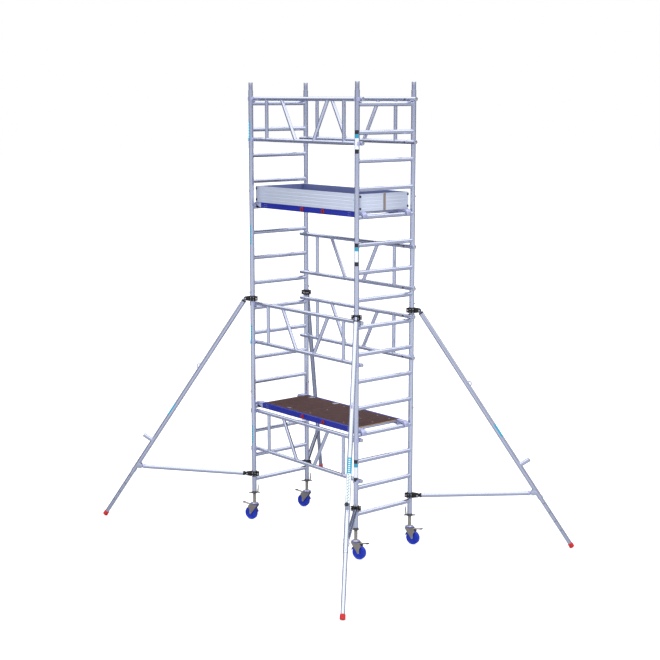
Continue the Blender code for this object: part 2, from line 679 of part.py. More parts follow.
def make_legs():
    spindle, nut = spindle_mesh(), nut_mesh()
    fork, wheel, pedal = fork_mesh(), wheel_mesh(), pedal_mesh()
    for corner, side_x, side_y in CORNERS:
        at = (side_x * HALF_LENGTH, side_y * HALF_WIDTH, 0)
        leg = holder(f"leg_{corner}", at, 90 - 90 * side_x + CASTOR_HEADING)
        node(f"leg_spindle_{corner}", spindle, ZINC, parent=leg)
        node(f"castor_fork_{corner}", fork, ZINC, parent=leg)
        node(f"castor_wheel_{corner}", wheel, BLUE_RUBBER, (WHEEL_TRAIL, 0, AXLE_HEIGHT), parent=leg)
        node(f"brake_pedal_{corner}", pedal, ZINC, (PEDAL_PIVOT_X, 0, PEDAL_PIVOT_Z), parent=leg)
        nut_place = (at[0], at[1], FRAME_BASE - GAP)
        node(f"adjusting_nut_{corner}", nut, CAST_METAL, nut_place, NUT_HEADINGS[corner])


# --- Stabilisers: X outwards from the corner upright's axis, z = 0 on the ground --------------------------
UPPER_CLAMP_Z = rung_height(UPPER_CLAMP_RUNG) + UPPER_CLAMP_RISE
LOWER_CLAMP_Z = FIRST_RUNG + LOWER_CLAMP_RISE
LEG_PIVOT = Vector((CLAMP_PIVOT, 0, UPPER_CLAMP_Z))
LEG_WAY = (Vector((FOOT_REACH, 0, 0)) - LEG_PIVOT).normalized()
LEG_TOTAL = (Vector((FOOT_REACH, 0, 0)) - LEG_PIVOT).length
LEG_UNDER = Vector((LEG_WAY.z, 0, -LEG_WAY.x))  # across the leg, down and towards the tower
ARM_PIVOT = Vector((CLAMP_PIVOT, 0, LOWER_CLAMP_Z))
BRACKET_PIVOT = LEG_PIVOT + LEG_WAY * BRACKET_PLACE + LEG_UNDER * BRACKET_DROP
ARM_WAY = (BRACKET_PIVOT - ARM_PIVOT).normalized()
INNER_RADIUS = LEG_RADIUS - LEG_WALL - INNER_CLEARANCE


def along_leg(distance, under=0.0):
    return LEG_PIVOT + LEG_WAY * distance + LEG_UNDER * under


def clamp_shapes(z):
    """A clamp round the upright, with its flanges and two ears: what is added and what is cut away."""
    low, high = z - CLAMP_HEIGHT / 2, z + CLAMP_HEIGHT / 2
    bore = running_bore(UPRIGHT_RADIUS, CLAMP_GAP, UPRIGHT_SIDES)
    ring = rod((0, 0, low), (0, 0, high), bore + CLAMP_WALL, UPRIGHT_SIDES)
    half = FLANGE_THICKNESS / 2
    flanges = block((-half, -FLANGE_REACH, low + OVERLAP), (half, FLANGE_REACH, high - OVERLAP))
    side = EAR_GAP / 2 + EAR_WALL
    ears = block((bore + CLAMP_WALL / 2, -side, low + OVERLAP), (CLAMP_PIVOT, side, high - OVERLAP))
    round_ears = rod((CLAMP_PIVOT, -side, z), (CLAMP_PIVOT, side, z), EAR_RADIUS, UPRIGHT_SIDES)
    slot_start, slot_end = CLAMP_PIVOT - LUG_RADIUS - OVERLAP, CLAMP_PIVOT + 2 * EAR_RADIUS
    half = EAR_GAP / 2
    slot = block((slot_start, -half, low - PAST), (slot_end, half, high + PAST))
    hole = rod((0, 0, low - PAST), (0, 0, high + PAST), bore, UPRIGHT_SIDES)
    return [ring, flanges, ears, round_ears], [slot, hole]


def pivot_pin(x, z):
    reach = EAR_GAP / 2 + EAR_WALL / 2
    return rod((x, -reach, z), (x, reach, z), PIVOT_PIN_RADIUS, RUNG_SIDES)


def clamp_mesh(name, z):
    """A clamp in two steps: its body is bored and slotted, and then its pin is put through the ears."""
    adds, cuts = clamp_shapes(z)
    return solid(name, [shape_of(solid(name, adds, cuts)), pivot_pin(CLAMP_PIVOT, z)])


def lug_shapes(pivot, way, length):
    """A flat lug from the pivot into a tube's end: what is added and its pin hole."""
    half = EAR_GAP / 2 - 2 * GAP
    side = Vector((0, half, 0))
    wide = LUG_RADIUS - OVERLAP
    outline = [(0, -wide), (length, -wide), (length, wide), (0, wide)]
    stem = plate(outline, 2 * half - OVERLAP, lug_place(pivot, way))
    eye = rod(pivot - side, pivot + side, LUG_RADIUS, UPRIGHT_SIDES)
    bore = running_bore(PIVOT_PIN_RADIUS, PIVOT_PIN_CLEARANCE, RUNG_SIDES)
    hole = rod(pivot - side * 2, pivot + side * 2, bore, RUNG_SIDES)
    return [eye, stem], hole


def lug_place(pivot, way):
    """Local X along the way, local Z across it along the tower frame's Y."""
    across = Vector((0, 1, 0))
    third = across.cross(way)
    turn = Matrix((way, third, across)).transposed().to_4x4()
    return Matrix.Translation(pivot) @ turn


def leg_tube_mesh():
    """Outer tube with its top lug, the handle stub and the bracket that carries the arm."""
    adds = [rod(along_leg(LEG_START), along_leg(LEG_LENGTH), LEG_RADIUS, UPRIGHT_SIDES)]
    bore_start, bore_end = along_leg(LEG_START + LEG_RADIUS), along_leg(LEG_LENGTH + PAST)
    bore = rod(bore_start, bore_end, LEG_RADIUS - LEG_WALL, UPRIGHT_SIDES)
    lug, hole = lug_shapes(LEG_PIVOT, LEG_WAY, LEG_START + OVERLAP)
    handle_end = along_leg(HANDLE_PLACE, -LEG_RADIUS - HANDLE_LENGTH)
    adds.append(rod(along_leg(HANDLE_PLACE), handle_end, HANDLE_RADIUS, RUNG_SIDES))
    adds += lug
    shapes = [shape_of(solid("leg_tube", adds, [bore, hole]))]
    flat = LEG_RADIUS * math.cos(math.pi / UPRIGHT_SIDES)  # the faceted tube's sides
    half, tip = BRACKET_LENGTH / 2, BRACKET_DROP + EAR_RADIUS
    outline = [(-half, -BRACKET_RISE), (half, -BRACKET_RISE), (half, LEG_RADIUS)]
    outline += [(BRACKET_NOSE, tip), (-BRACKET_NOSE, tip), (-half, LEG_RADIUS)]
    for side in (-1, 1):
        across = Vector((0, side * (flat - OVERLAP / 4 + BRACKET_WALL / 2), 0))
        place = lug_place(along_leg(BRACKET_PLACE) + across, LEG_WAY)
        shapes.append(plate(outline, BRACKET_WALL, place))
    across = Vector((0, LEG_RADIUS + BRACKET_WALL / 4, 0))
    pin = rod(BRACKET_PIVOT - across, BRACKET_PIVOT + across, PIVOT_PIN_RADIUS, RUNG_SIDES)
    return solid("leg_tube", shapes + [pin])


def inner_leg_mesh():
    """Sliding inner tube with its row of holes and the foot, cut level with the ground."""
    start, foot_start = LEG_LENGTH - INNER_ENGAGEMENT, LEG_TOTAL - FOOT_LENGTH
    tube = rod(along_leg(start), along_leg(foot_start + FOOT_LENGTH / 2), INNER_RADIUS, UPRIGHT_SIDES)
    foot = rod(along_leg(foot_start), along_leg(LEG_TOTAL + FOOT_RADIUS), FOOT_RADIUS, UPRIGHT_SIDES)
    bore_start, bore_end = along_leg(start - PAST), along_leg(foot_start + OVERLAP)
    cuts = [rod(bore_start, bore_end, INNER_RADIUS - INNER_WALL, UPRIGHT_SIDES)]
    reach = 4 * FOOT_RADIUS
    cuts.append(block((FOOT_REACH - reach, -reach, -reach), (FOOT_REACH + reach, reach, 0)))
    across = Vector((0, LEG_RADIUS * 2, 0))
    for i in range(HOLE_COUNT):
        centre = along_leg(LEG_LENGTH + HOLE_FIRST + i * HOLE_PITCH)
        cuts.append(rod(centre - across, centre + across, HOLE_RADIUS, RUNG_SIDES))
    return solid("leg_inner", [tube, foot], cuts)


def arm_mesh():
    """Lower arm held fast by its clamp's pin, with an eye at its outer end for the bracket's pin."""
    clamp_adds, clamp_cuts = clamp_shapes(LOWER_CLAMP_Z)
    clamp = solid("arm_clamp", clamp_adds, clamp_cuts)
    start = ARM_PIVOT + ARM_WAY * LEG_START
    end = BRACKET_PIVOT - ARM_WAY * LEG_START
    near, _ = lug_shapes(ARM_PIVOT, ARM_WAY, LEG_START + OVERLAP)
    far, far_hole = lug_shapes(BRACKET_PIVOT, -ARM_WAY, LEG_START + OVERLAP)
    arm = solid("arm", [rod(start, end, ARM_RADIUS, UPRIGHT_SIDES)] + near + far, [far_hole])
    pin = pivot_pin(CLAMP_PIVOT, LOWER_CLAMP_Z)
    return solid("stabiliser_arm", [shape_of(clamp), pin, shape_of(arm)])


def make_stabilisers():
    upper = clamp_mesh("clamp_upper", UPPER_CLAMP_Z)
    leg, inner, arm = leg_tube_mesh(), inner_leg_mesh(), arm_mesh()
    for corner, side_x, side_y in CORNERS:
        heading = math.degrees(math.atan2(side_y, side_x))
        root = holder(f"stabiliser_{corner}", (side_x * HALF_LENGTH, side_y * HALF_WIDTH, 0), heading)
        node(f"stabiliser_clamp_{corner}", upper, BLACK_CAST, parent=root)
        node(f"stabiliser_leg_{corner}", leg, ALUMINIUM, parent=root)
        node(f"stabiliser_inner_leg_{corner}", inner, ALUMINIUM, parent=root)
        node(f"stabiliser_arm_{corner}", arm, ALUMINIUM, parent=root)


# --- The tower --------------------------------------------------------------------------------------------
clear_scene()
tower = bpy.data.collections.new("rolling_scaffold_tower")
bpy.context.scene.collection.children.link(tower)

ALUMINIUM = finish("aluminium", (190, 196, 215), 0.35, 0.9)
BLUE_PAINT = finish("blue_paint", (30, 50, 185), 0.45, 0.0)
DECK_BOARD = finish("deck_board", (88, 58, 54), 0.6, 0.0)
TOE_METAL = finish("toe_board_metal", (190, 200, 222), 0.4, 0.6)
ZINC = finish("zinc_plate", (150, 142, 132), 0.4, 0.9)
CAST_METAL = finish("cast_metal", (95, 92, 92), 0.55, 0.7)
BLUE_RUBBER = finish("blue_rubber", (25, 45, 200), 0.55, 0.0)
BLACK_CAST = finish("black_cast", (30, 30, 32), 0.5, 0.0)

make_end_frames()
make_guardrails()
make_platforms()
make_toe_boards()
make_legs()
make_stabilisers()
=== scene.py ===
"""Looks of a rolling aluminium scaffold tower: smooth tubes, castings, boards, clips and labels round its frame.

Each skin below is a surface worked out on a grid of points; skins are gathered into pieces that ride on the
tower's bodies. X runs along the tower, Y across it, Z up, in metres.
"""

import json
import math

import bpy
import numpy as np
from mathutils import Matrix, Vector

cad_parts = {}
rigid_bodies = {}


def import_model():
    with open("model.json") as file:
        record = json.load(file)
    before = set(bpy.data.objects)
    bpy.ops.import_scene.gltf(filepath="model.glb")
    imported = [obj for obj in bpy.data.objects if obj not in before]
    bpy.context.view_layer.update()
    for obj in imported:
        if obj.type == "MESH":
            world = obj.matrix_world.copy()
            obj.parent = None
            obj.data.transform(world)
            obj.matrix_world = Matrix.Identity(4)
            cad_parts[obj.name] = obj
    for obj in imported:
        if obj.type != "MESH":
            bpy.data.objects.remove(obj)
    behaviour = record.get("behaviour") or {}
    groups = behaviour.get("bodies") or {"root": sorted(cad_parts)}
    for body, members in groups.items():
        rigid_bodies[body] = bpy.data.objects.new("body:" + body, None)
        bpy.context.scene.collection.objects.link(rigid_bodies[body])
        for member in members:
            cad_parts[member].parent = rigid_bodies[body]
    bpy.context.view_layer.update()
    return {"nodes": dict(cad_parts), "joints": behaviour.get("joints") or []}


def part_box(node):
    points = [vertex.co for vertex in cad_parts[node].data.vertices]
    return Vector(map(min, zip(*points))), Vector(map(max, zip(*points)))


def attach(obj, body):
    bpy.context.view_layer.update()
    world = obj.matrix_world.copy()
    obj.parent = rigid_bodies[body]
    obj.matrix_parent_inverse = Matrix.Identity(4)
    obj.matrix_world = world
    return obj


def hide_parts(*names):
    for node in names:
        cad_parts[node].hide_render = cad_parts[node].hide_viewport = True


for leftover in list(bpy.data.objects):
    bpy.data.objects.remove(leftover, do_unlink=True)
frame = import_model()

# --- Places read from the frame --------------------------------------------------------------------
JOINTS = {joint["name"]: joint for joint in frame["joints"]}
CORNERS = {"front_left": (-1, -1), "front_right": (1, -1), "back_left": (-1, 1), "back_right": (1, 1)}
FIRST_LOW, FIRST_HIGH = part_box("end_frame_1_left")
UPRIGHT = (FIRST_HIGH.x - FIRST_LOW.x) / 2
HALF_LENGTH = -(FIRST_HIGH.x + FIRST_LOW.x) / 2
HALF_WIDTH = FIRST_HIGH.y - UPRIGHT
FRAME_BASE = FIRST_LOW.z
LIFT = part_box("end_frame_2_left")[0].z - FRAME_BASE
LIFTS = 4
RUNGS = 4
SPIGOT_HEIGHT = FIRST_HIGH.z - FRAME_BASE - LIFT

# --- Sizes of the tubes and fittings ---------------------------------------------------------------
UPRIGHT_WALL = 0.0025
SPIGOT = 0.0223
SPIGOT_WALL = 0.003
SPIGOT_SEAT = 0.060
RUNG = 0.023
GUARD_TUBE = 0.021
GUARD_POST = 0.019
GUARD_WALL = 0.002
GUARD_DROP = 0.435
GUARD_LONG_END = 0.0895
GUARD_SHORT_END = 0.0355
GUARD_POSTS = (-0.656, 0.620)
GUARD_BRACES = ((-0.398, -0.160), (0.371, 0.133))
CLAW_HEIGHT = 0.038
CLAW_WALL = 0.0075
RAIL_DEPTH = 0.030
RAIL_WALL = 0.003
HOOK_WIDTH = 0.060
HOOK_LIP = 0.012
KNOBS = (-0.062, 0.285)
SPINDLE = 0.018
SPINDLE_BORE = 0.013
THREAD_PITCH = 0.008
THREAD_DEPTH = 0.0013
WHEEL_WIDTH = 0.042
CLAMP_PIVOT = 0.079
CLAMP_WALL = 0.011
FLANGE_REACH = 0.0545
EAR_GAP = 0.027
EAR_WALL = 0.008
LEG = 0.025
LEG_LENGTH = 2.400
INNER_LEG = 0.0222
LEG_START = 0.030
ARM = 0.0235
HANDLE_PLACE = 1.968
HANDLE = 0.0235
HANDLE_LENGTH = 0.100
BRACKET_PLACE = 2.299
BRACKET_LENGTH = 0.086
BRACKET_DROP = 0.046
HOOK_PLACE = 0.939
LEG_LABEL = (1.452, 1.607)
FRONT_LABEL = (1.471, 1.630)  # the longer one on the front right leg
MARK_LABEL = (1.632, 1.925)  # the white one under it
HOLES = (0.055, 0.115, 4)  # first hole past the outer tube, pitch, count
FOOT = 0.0285
FOOT_LENGTH = 0.066

SIDES = 48  # columns round a tube
EDGE_STEPS = 3  # rows in a rounded edge
SHARP = math.radians(38)


# --- Skins -----------------------------------------------------------------------------------------
def unit(vectors):
    return vectors / np.linalg.norm(vectors, axis=-1, keepdims=True)


def loft(loops, ring=False):
    """Skin over closed loops: point (i, j) is point j of loop i, and each square of the grid is a face.

    The end loops are filled, or a ring's last loop meets its first. U is the distance round the loops and V
    the distance along them, in metres."""
    rows, columns = loops.shape[:2]
    index = np.arange(rows * columns).reshape(rows, columns)
    beside, above = np.roll(index, -1, 1), np.roll(index, -1, 0)
    used = rows if ring else rows - 1
    quads = np.stack([index, beside, np.roll(above, -1, 1), above], -1)[:used].reshape(-1, 4)
    steps = np.linalg.norm(np.roll(loops, -1, 1) - loops, axis=2).max(0)
    climbs = np.linalg.norm(np.roll(loops, -1, 0) - loops, axis=2).min(1)
    around = np.concatenate([[0], np.cumsum(steps)])
    along = np.concatenate([[0], np.cumsum(climbs)])
    column, row = np.meshgrid(np.arange(columns), np.arange(used))
    corners = ((0, 0), (1, 0), (1, 1), (0, 1))
    uv = np.stack([np.stack([around[column + a], along[row + b]], -1) for a, b in corners], -2)
    caps = [] if ring else [index[0][::-1], index[-1]]
    return loops.reshape(-1, 3), quads, uv.reshape(-1, 2), caps


def moved(skin, place):
    """The skin carried by a matrix that turns and shifts it."""
    points, quads, uv, caps = skin
    matrix = np.array(place)
    return points @ matrix[:3, :3].T + matrix[:3, 3], quads, uv, caps


def stood(origin, up, forward=None):
    """Matrix that puts local Z along up and local X as near to forward as it can."""
    up = Vector(up).normalized()
    if forward is None:
        forward = (0, 0, 1) if abs(up.z) < 0.9 else (1, 0, 0)
    across = up.cross(Vector(forward)).normalized()
    turn = Matrix((across.cross(up), across, up)).transposed().to_4x4()
    return Matrix.Translation(Vector(origin)) @ turn


def at(x, y, z):
    return Matrix.Translation((x, y, z))


def about(axis, turn):
    return Matrix.Rotation(turn, 4, axis)


def beside(corner, z=0.0):
    """Matrix that carries the origin to a corner's upright."""
    side_x, side_y = CORNERS[corner]
    return at(side_x * HALF_LENGTH, side_y * HALF_WIDTH, z)


UPENDED = about("X", math.pi / 2)


def turned(profile, sides=SIDES, ring=False):
    """Surface of revolution: the profile's point (r, h) turned by t lies at (r cos t, r sin t, h)."""
    radius, height = np.array(profile, float).T
    turns = np.linspace(0, 2 * np.pi, sides, endpoint=False)
    flat = radius[:, None] * np.ones(sides)
    rise = height[:, None] * np.ones(sides)
    return loft(np.stack([flat * np.cos(turns), flat * np.sin(turns), rise], -1), ring)


def tube(start, end, radius, wall, sides=SIDES, edge=0.0007):
    """An open round tube between two points, its rims rounded."""
    length = (Vector(end) - Vector(start)).length
    bore = radius - wall
    profile = [(bore, edge), (bore + edge, 0), (radius - edge, 0), (radius, edge)]
    profile += [(radius, length - edge), (radius - edge, length), (bore + edge, length), (bore, length - edge)]
    return moved(turned(profile, sides, ring=True), stood(start, Vector(end) - Vector(start)))


def rod(start, end, radius, sides=SIDES, edge=0.0007):
    """A solid round bar between two points, its rims rounded."""
    length = (Vector(end) - Vector(start)).length
    profile = [(radius - edge, 0), (radius, edge), (radius, length - edge), (radius - edge, length)]
    return moved(turned(profile, sides), stood(start, Vector(end) - Vector(start)))


def grooved_tube(start, end, radius, wall, grooves, depth=0.0009, width=0.085):
    """A tube whose outer radius at angle t is r - d sum exp(-((t - g) / w)^2) over the groove angles g."""
    sides = 96
    turns = np.linspace(0, 2 * np.pi, sides, endpoint=False)
    away = (turns[:, None] - np.radians(grooves) + np.pi) % (2 * np.pi) - np.pi
    dent = depth * np.exp(-((away / width) ** 2)).sum(1)
    length = (Vector(end) - Vector(start)).length
    edge = 0.0007
    rims = [(radius - edge - dent, 0), (radius - dent, edge), (radius - dent, length - edge)]
    rims += [(radius - edge - dent, length), (radius - wall, length), (radius - wall, 0)]
    cosine, sine = np.cos(turns), np.sin(turns)
    loops = [np.stack([rim * cosine, rim * sine, np.full(sides, height)], -1) for rim, height in rims]
    return moved(loft(np.array(loops), ring=True), stood(start, Vector(end) - Vector(start)))


def inset(outline, distance):
    """The outline moved inwards along the mean normal of the two sides at each point."""
    way = unit(unit(outline - np.roll(outline, 1, 0)) + unit(np.roll(outline, -1, 0) - outline))
    return outline - distance * np.stack([way[:, 1], -way[:, 0]], -1)


def rounded(points, radius, steps=4):
    """The outline with each corner p replaced by the curve (1-s)^2 a + 2s(1-s) p + s^2 b between its sides."""
    points = np.array(points, float)
    before, after = np.roll(points, 1, 0) - points, np.roll(points, -1, 0) - points
    reach = np.broadcast_to(np.reshape(radius, (-1, 1)), (len(points), 1))
    start, end = points + reach * unit(before), points + reach * unit(after)
    s = np.linspace(0, 1, steps)[None, :, None]
    bend = (1 - s) ** 2 * start[:, None] + 2 * s * (1 - s) * points[:, None] + s**2 * end[:, None]
    return bend.reshape(-1, 2)


def arc(centre, radius, start, end, count):
    turns = np.radians(np.linspace(start, end, count))
    return np.stack([centre[0] + radius * np.cos(turns), centre[1] + radius * np.sin(turns)], -1)


def slab(outline, low, high, edge=0.001):
    """An outline in XY carried from one height to another, its rims rounded by a quarter circle."""
    outline = np.array(outline, float)
    bends = np.linspace(0, np.pi / 2, EDGE_STEPS)
    insets, lifts = edge * (1 - np.sin(bends)), edge * (1 - np.cos(bends))
    rows = [(inset(outline, a), low + b) for a, b in zip(insets, lifts)]
    rows += [(inset(outline, a), high - b) for a, b in zip(insets[::-1], lifts[::-1])]
    return loft(np.array([np.column_stack([flat, np.full(len(flat), z)]) for flat, z in rows]))


def block(low, high, round_corner=0.002, edge=0.001):
    """A box between two corners with rounded uprights and rims."""
    (x0, y0, z0), (x1, y1, z1) = low, high
    corners = [(x0, y0), (x1, y0), (x1, y1), (x0, y1)]
    return slab(rounded(corners, round_corner), z0, z1, edge)


def wire(path, radius, closed=False, sides=10):
    """A round wire carried along a path: at each point a circle stands square to the path."""
    path = np.array(path, float)
    if closed:
        ways = np.roll(path, -1, 0) - np.roll(path, 1, 0)
    else:
        ways = np.gradient(path, axis=0)
    ways = unit(ways)
    spread = np.linalg.svd(path - path.mean(0))[2][2]
    side = unit(np.cross(spread, ways))
    top = np.cross(ways, side)
    turns = np.linspace(0, 2 * np.pi, sides, endpoint=False)[None, :, None]
    loops = path[:, None] + radius * (np.cos(turns) * side[:, None] + np.sin(turns) * top[:, None])
    return loft(loops, ring=closed)


def weld(radius, upright, thickness=0.0024):
    """Bead where a rung along Y runs into an upright.

    Its centre line is (r cos t, sqrt(R^2 - r^2 cos^2 t), r sin t), and its circle swells by a tenth along the
    ripples."""
    t = np.linspace(0, 2 * np.pi, 72, endpoint=False)
    across = radius * np.cos(t)
    path = np.stack([across, np.sqrt(upright**2 - across**2), radius * np.sin(t)], -1)
    ways = unit(np.roll(path, -1, 0) - np.roll(path, 1, 0))
    out = np.stack([np.cos(t), np.zeros_like(t), np.sin(t)], -1)
    out = unit(out - (out * ways).sum(1, keepdims=True) * ways)
    side = np.cross(ways, out)
    size = thickness * (1 + 0.1 * np.cos(24 * t))[:, None, None]
    turns = np.linspace(0, 2 * np.pi, 8, endpoint=False)[None, :, None]
    circle = np.cos(turns) * out[:, None] + np.sin(turns) * side[:, None]
    return loft(path[:, None] + size * circle, ring=True)


def thread(radius, bore, low, high, sides=24, rows_per_turn=8):
    """A threaded tube: at height h and angle t the radius is r - d (1 - cos(2 pi h / p - t)) / 2."""
    rows = int((high - low) / THREAD_PITCH * rows_per_turn)
    height = np.linspace(low, high, rows)[:, None] * np.ones(sides)
    turns = np.linspace(0, 2 * np.pi, sides, endpoint=False)[None, :] * np.ones((rows, 1))
    crest = radius - THREAD_DEPTH * (1 - np.cos(2 * np.pi * height / THREAD_PITCH - turns)) / 2
    outside = np.stack([crest * np.cos(turns), crest * np.sin(turns), height], -1)
    inside = np.stack([bore * np.cos(turns[:2]), bore * np.sin(turns[:2]), np.full((2, sides), high)], -1)
    inside[1, :, 2] = low
    return loft(np.concatenate([outside, inside]), ring=True)


def sticker(radius, middle, span, low, high, thickness=0.0004):
    """A label bent round an upright tube: an arc of the tube, as thick as film."""
    outer = arc((0, 0), radius + thickness, middle - span / 2, middle + span / 2, 12)
    inner = arc((0, 0), radius + 0.00005, middle + span / 2, middle - span / 2, 12)
    outline = np.concatenate([outer, inner])
    flat = [np.column_stack([outline, np.full(len(outline), z)]) for z in (low, high)]
    return loft(np.array(flat))


def dome(radius, height, sides=14):
    """A rivet head: radius r cos a and height h sin a, on its flat foot."""
    lift = np.linspace(0, math.radians(82), 5)
    return turned([(radius, -0.001)] + [(radius * math.cos(a), height * math.sin(a)) for a in lift], sides)


def hex_head(radius, height):
    """A six-sided bolt head or nut standing on z = 0."""
    corners = [(radius * math.cos(t), radius * math.sin(t)) for t in np.arange(6) * math.pi / 3]
    return slab(rounded(corners, radius * 0.08, 3), 0, height, height * 0.12)


# --- Pieces ----------------------------------------------------------------------------------------
MATERIALS = {}


def piece(name, parts, body, replaces=()):
    """One object from pairs of a skin and the name of its material, riding on a body."""
    names = list(dict.fromkeys(material for _, material in parts))
    points, faces, uv, kinds, start = [], [], [], [], 0
    for (skin_points, quads, skin_uv, caps), material in parts:
        points.append(skin_points)
        faces += (quads + start).tolist() + [(cap + start).tolist() for cap in caps]
        uv.append(skin_uv)
        for cap in caps:
            middle = skin_points[cap].mean(0)
            flat = skin_points[cap] - middle
            axes = np.linalg.svd(flat, full_matrices=False)[2][:2]
            uv.append(flat @ axes.T)
        kinds += [names.index(material)] * (len(quads) + len(caps))
        start += len(skin_points)
    mesh = bpy.data.meshes.new(name)
    mesh.from_pydata(np.concatenate(points), [], faces)
    mesh.polygons.foreach_set("material_index", kinds)
    mesh.uv_layers.new(name="UVMap").data.foreach_set("uv", np.concatenate(uv).astype(np.float32).ravel())
    mesh.shade_smooth()
    mesh.set_sharp_from_angle(angle=SHARP)
    for material in names:
        mesh.materials.append(MATERIALS[material])
    item = bpy.data.objects.new(name, mesh)
    bpy.context.scene.collection.objects.link(item)
    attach(item, body)
    if replaces:
        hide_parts(*replaces)
    return item


class Parts(list):
    """Pairs of a skin and the name of its material."""

    def put(self, material, skin, place=None):
        self.append((skin if place is None else moved(skin, place), material))


def placed(parts, matrix):
    return [(moved(skin, matrix), material) for skin, material in parts]


# --- Materials -------------------------------------------------------------------------------------
def linear(red, green, blue):
    """Colour given as 0-255 screen values, as linear values."""
    return tuple((value / 255) ** 2.2 for value in (red, green, blue)) + (1.0,)


def add(tree, kind, wires=None, **settings):
    """A shader node with its settings, its inputs set to values or joined to other nodes' outputs."""
    node = tree.nodes.new("ShaderNode" + kind)
    for name, value in settings.items():
        setattr(node, name, value)
    for name, value in (wires or {}).items():
        if isinstance(value, bpy.types.NodeSocket):
            tree.links.new(value, node.inputs[name])
        else:
            node.inputs[name].default_value = value
    return node


def mixed(tree, share, first, second):
    """The colour a share of the way from the first to the second."""
    wires = {"Factor": share, "A": first, "B": second}
    return add(tree, "Mix", wires, data_type="RGBA").outputs["Result"]


def group(name, inputs, outputs):
    """An empty shader node group with named sockets: its tree, its inputs and its output node."""
    tree = bpy.data.node_groups.new(name, "ShaderNodeTree")
    for label, kind in inputs:
        tree.interface.new_socket(name=label, in_out="INPUT", socket_type="NodeSocket" + kind)
    for label, kind in outputs:
        tree.interface.new_socket(name=label, in_out="OUTPUT", socket_type="NodeSocket" + kind)
    return tree, tree.nodes.new("NodeGroupInput").outputs, tree.nodes.new("NodeGroupOutput").inputs


def scuff_group():
    """Faint rubbed patches with fine scratches in them, as a mask."""
    sockets = [("Vector", "Vector"), ("Scale", "Float"), ("Amount", "Float")]
    tree, into, out = group("scuffs", sockets, [("Mask", "Float")])
    patches = add(tree, "TexNoise", {"Vector": into["Vector"], "Scale": into["Scale"], "Detail": 5.0})
    wires = {"Vector": into["Vector"], "Rotation": (0.3, 0.5, 0.7), "Scale": (9, 1, 1.5)}
    stretch = add(tree, "Mapping", wires)
    lines = add(tree, "TexNoise", {"Vector": stretch.outputs[0], "Scale": 60.0, "Detail": 3.0})
    sharp = add(tree, "MapRange", {"Value": lines.outputs[0], "From Min": 0.62, "From Max": 0.72})
    worn = add(tree, "MapRange", {"Value": patches.outputs[0], "From Min": 0.45, "From Max": 0.75})
    both = add(tree, "Math", {0: sharp.outputs[0], 1: worn.outputs[0]}, operation="MAXIMUM")
    level = add(tree, "Math", {0: both.outputs[0], 1: into["Amount"]}, operation="MULTIPLY")
    tree.links.new(level.outputs[0], out["Mask"])
    return tree


def drawn_group():
    """Metal drawn through a die: fine lines along V, slow changes of tone and scuffs."""
    floats = [(label, "Float") for label in ("Lines", "Gloss", "Streaks", "Scuffs")]
    tree, into, out = group(
        "drawn_metal",
        [("Vector", "Vector"), ("Colour", "Color"), ("Shade", "Color")] + floats,
        [("Colour", "Color"), ("Roughness", "Float"), ("Height", "Float")],
    )
    stretch = add(tree, "Mapping", {"Vector": into["Vector"], "Scale": (1.0, 0.012, 1.0)})
    lines = add(tree, "TexNoise", {"Vector": stretch.outputs[0], "Scale": into["Lines"], "Detail": 4.0})
    slow = add(tree, "TexNoise", {"Vector": into["Vector"], "Scale": 3.0, "Detail": 3.0})
    scuffs = add(tree, "Group", node_tree=bpy.data.node_groups["scuffs"])
    tree.links.new(into["Vector"], scuffs.inputs["Vector"])
    tree.links.new(into["Scuffs"], scuffs.inputs["Amount"])
    scuffs.inputs["Scale"].default_value = 7.0
    tone = add(tree, "Math", {0: lines.outputs[0], 1: slow.outputs[0]}, operation="MULTIPLY")
    streaks = add(tree, "Math", {0: tone.outputs[0], 1: into["Streaks"]}, operation="MULTIPLY")
    share = add(tree, "Math", {0: streaks.outputs[0], 1: scuffs.outputs[0]}, operation="ADD", use_clamp=True)
    colour = mixed(tree, share.outputs[0], into["Colour"], into["Shade"])
    rough = add(tree, "Math", {0: share.outputs[0], 1: 0.25, 2: into["Gloss"]}, operation="MULTIPLY_ADD")
    tree.links.new(colour, out["Colour"])
    tree.links.new(rough.outputs[0], out["Roughness"])
    tree.links.new(lines.outputs[0], out["Height"])
    return tree


def grain_group():
    """Cast, moulded or coated skin: pebbled grain, slow mottling and scuffs."""
    floats = [(label, "Float") for label in ("Grain", "Gloss", "Mottle", "Scuffs")]
    tree, into, out = group(
        "grain",
        [("Vector", "Vector"), ("Colour", "Color"), ("Shade", "Color")] + floats,
        [("Colour", "Color"), ("Roughness", "Float"), ("Height", "Float")],
    )
    fine = add(tree, "TexVoronoi", {"Vector": into["Vector"], "Scale": into["Grain"]})
    slow = add(tree, "TexNoise", {"Vector": into["Vector"], "Scale": 14.0, "Detail": 5.0})
    scuffs = add(tree, "Group", node_tree=bpy.data.node_groups["scuffs"])
    tree.links.new(into["Vector"], scuffs.inputs["Vector"])
    tree.links.new(into["Scuffs"], scuffs.inputs["Amount"])
    scuffs.inputs["Scale"].default_value = 22.0
    mottle = add(tree, "Math", {0: slow.outputs[0], 1: into["Mottle"]}, operation="MULTIPLY")
    share = add(tree, "Math", {0: mottle.outputs[0], 1: scuffs.outputs[0]}, operation="ADD", use_clamp=True)
    colour = mixed(tree, share.outputs[0], into["Colour"], into["Shade"])
    rough = add(tree, "Math", {0: share.outputs[0], 1: 0.3, 2: into["Gloss"]}, operation="MULTIPLY_ADD")
    tree.links.new(colour, out["Colour"])
    tree.links.new(rough.outputs[0], out["Roughness"])
    tree.links.new(fine.outputs[0], out["Height"])
    return tree


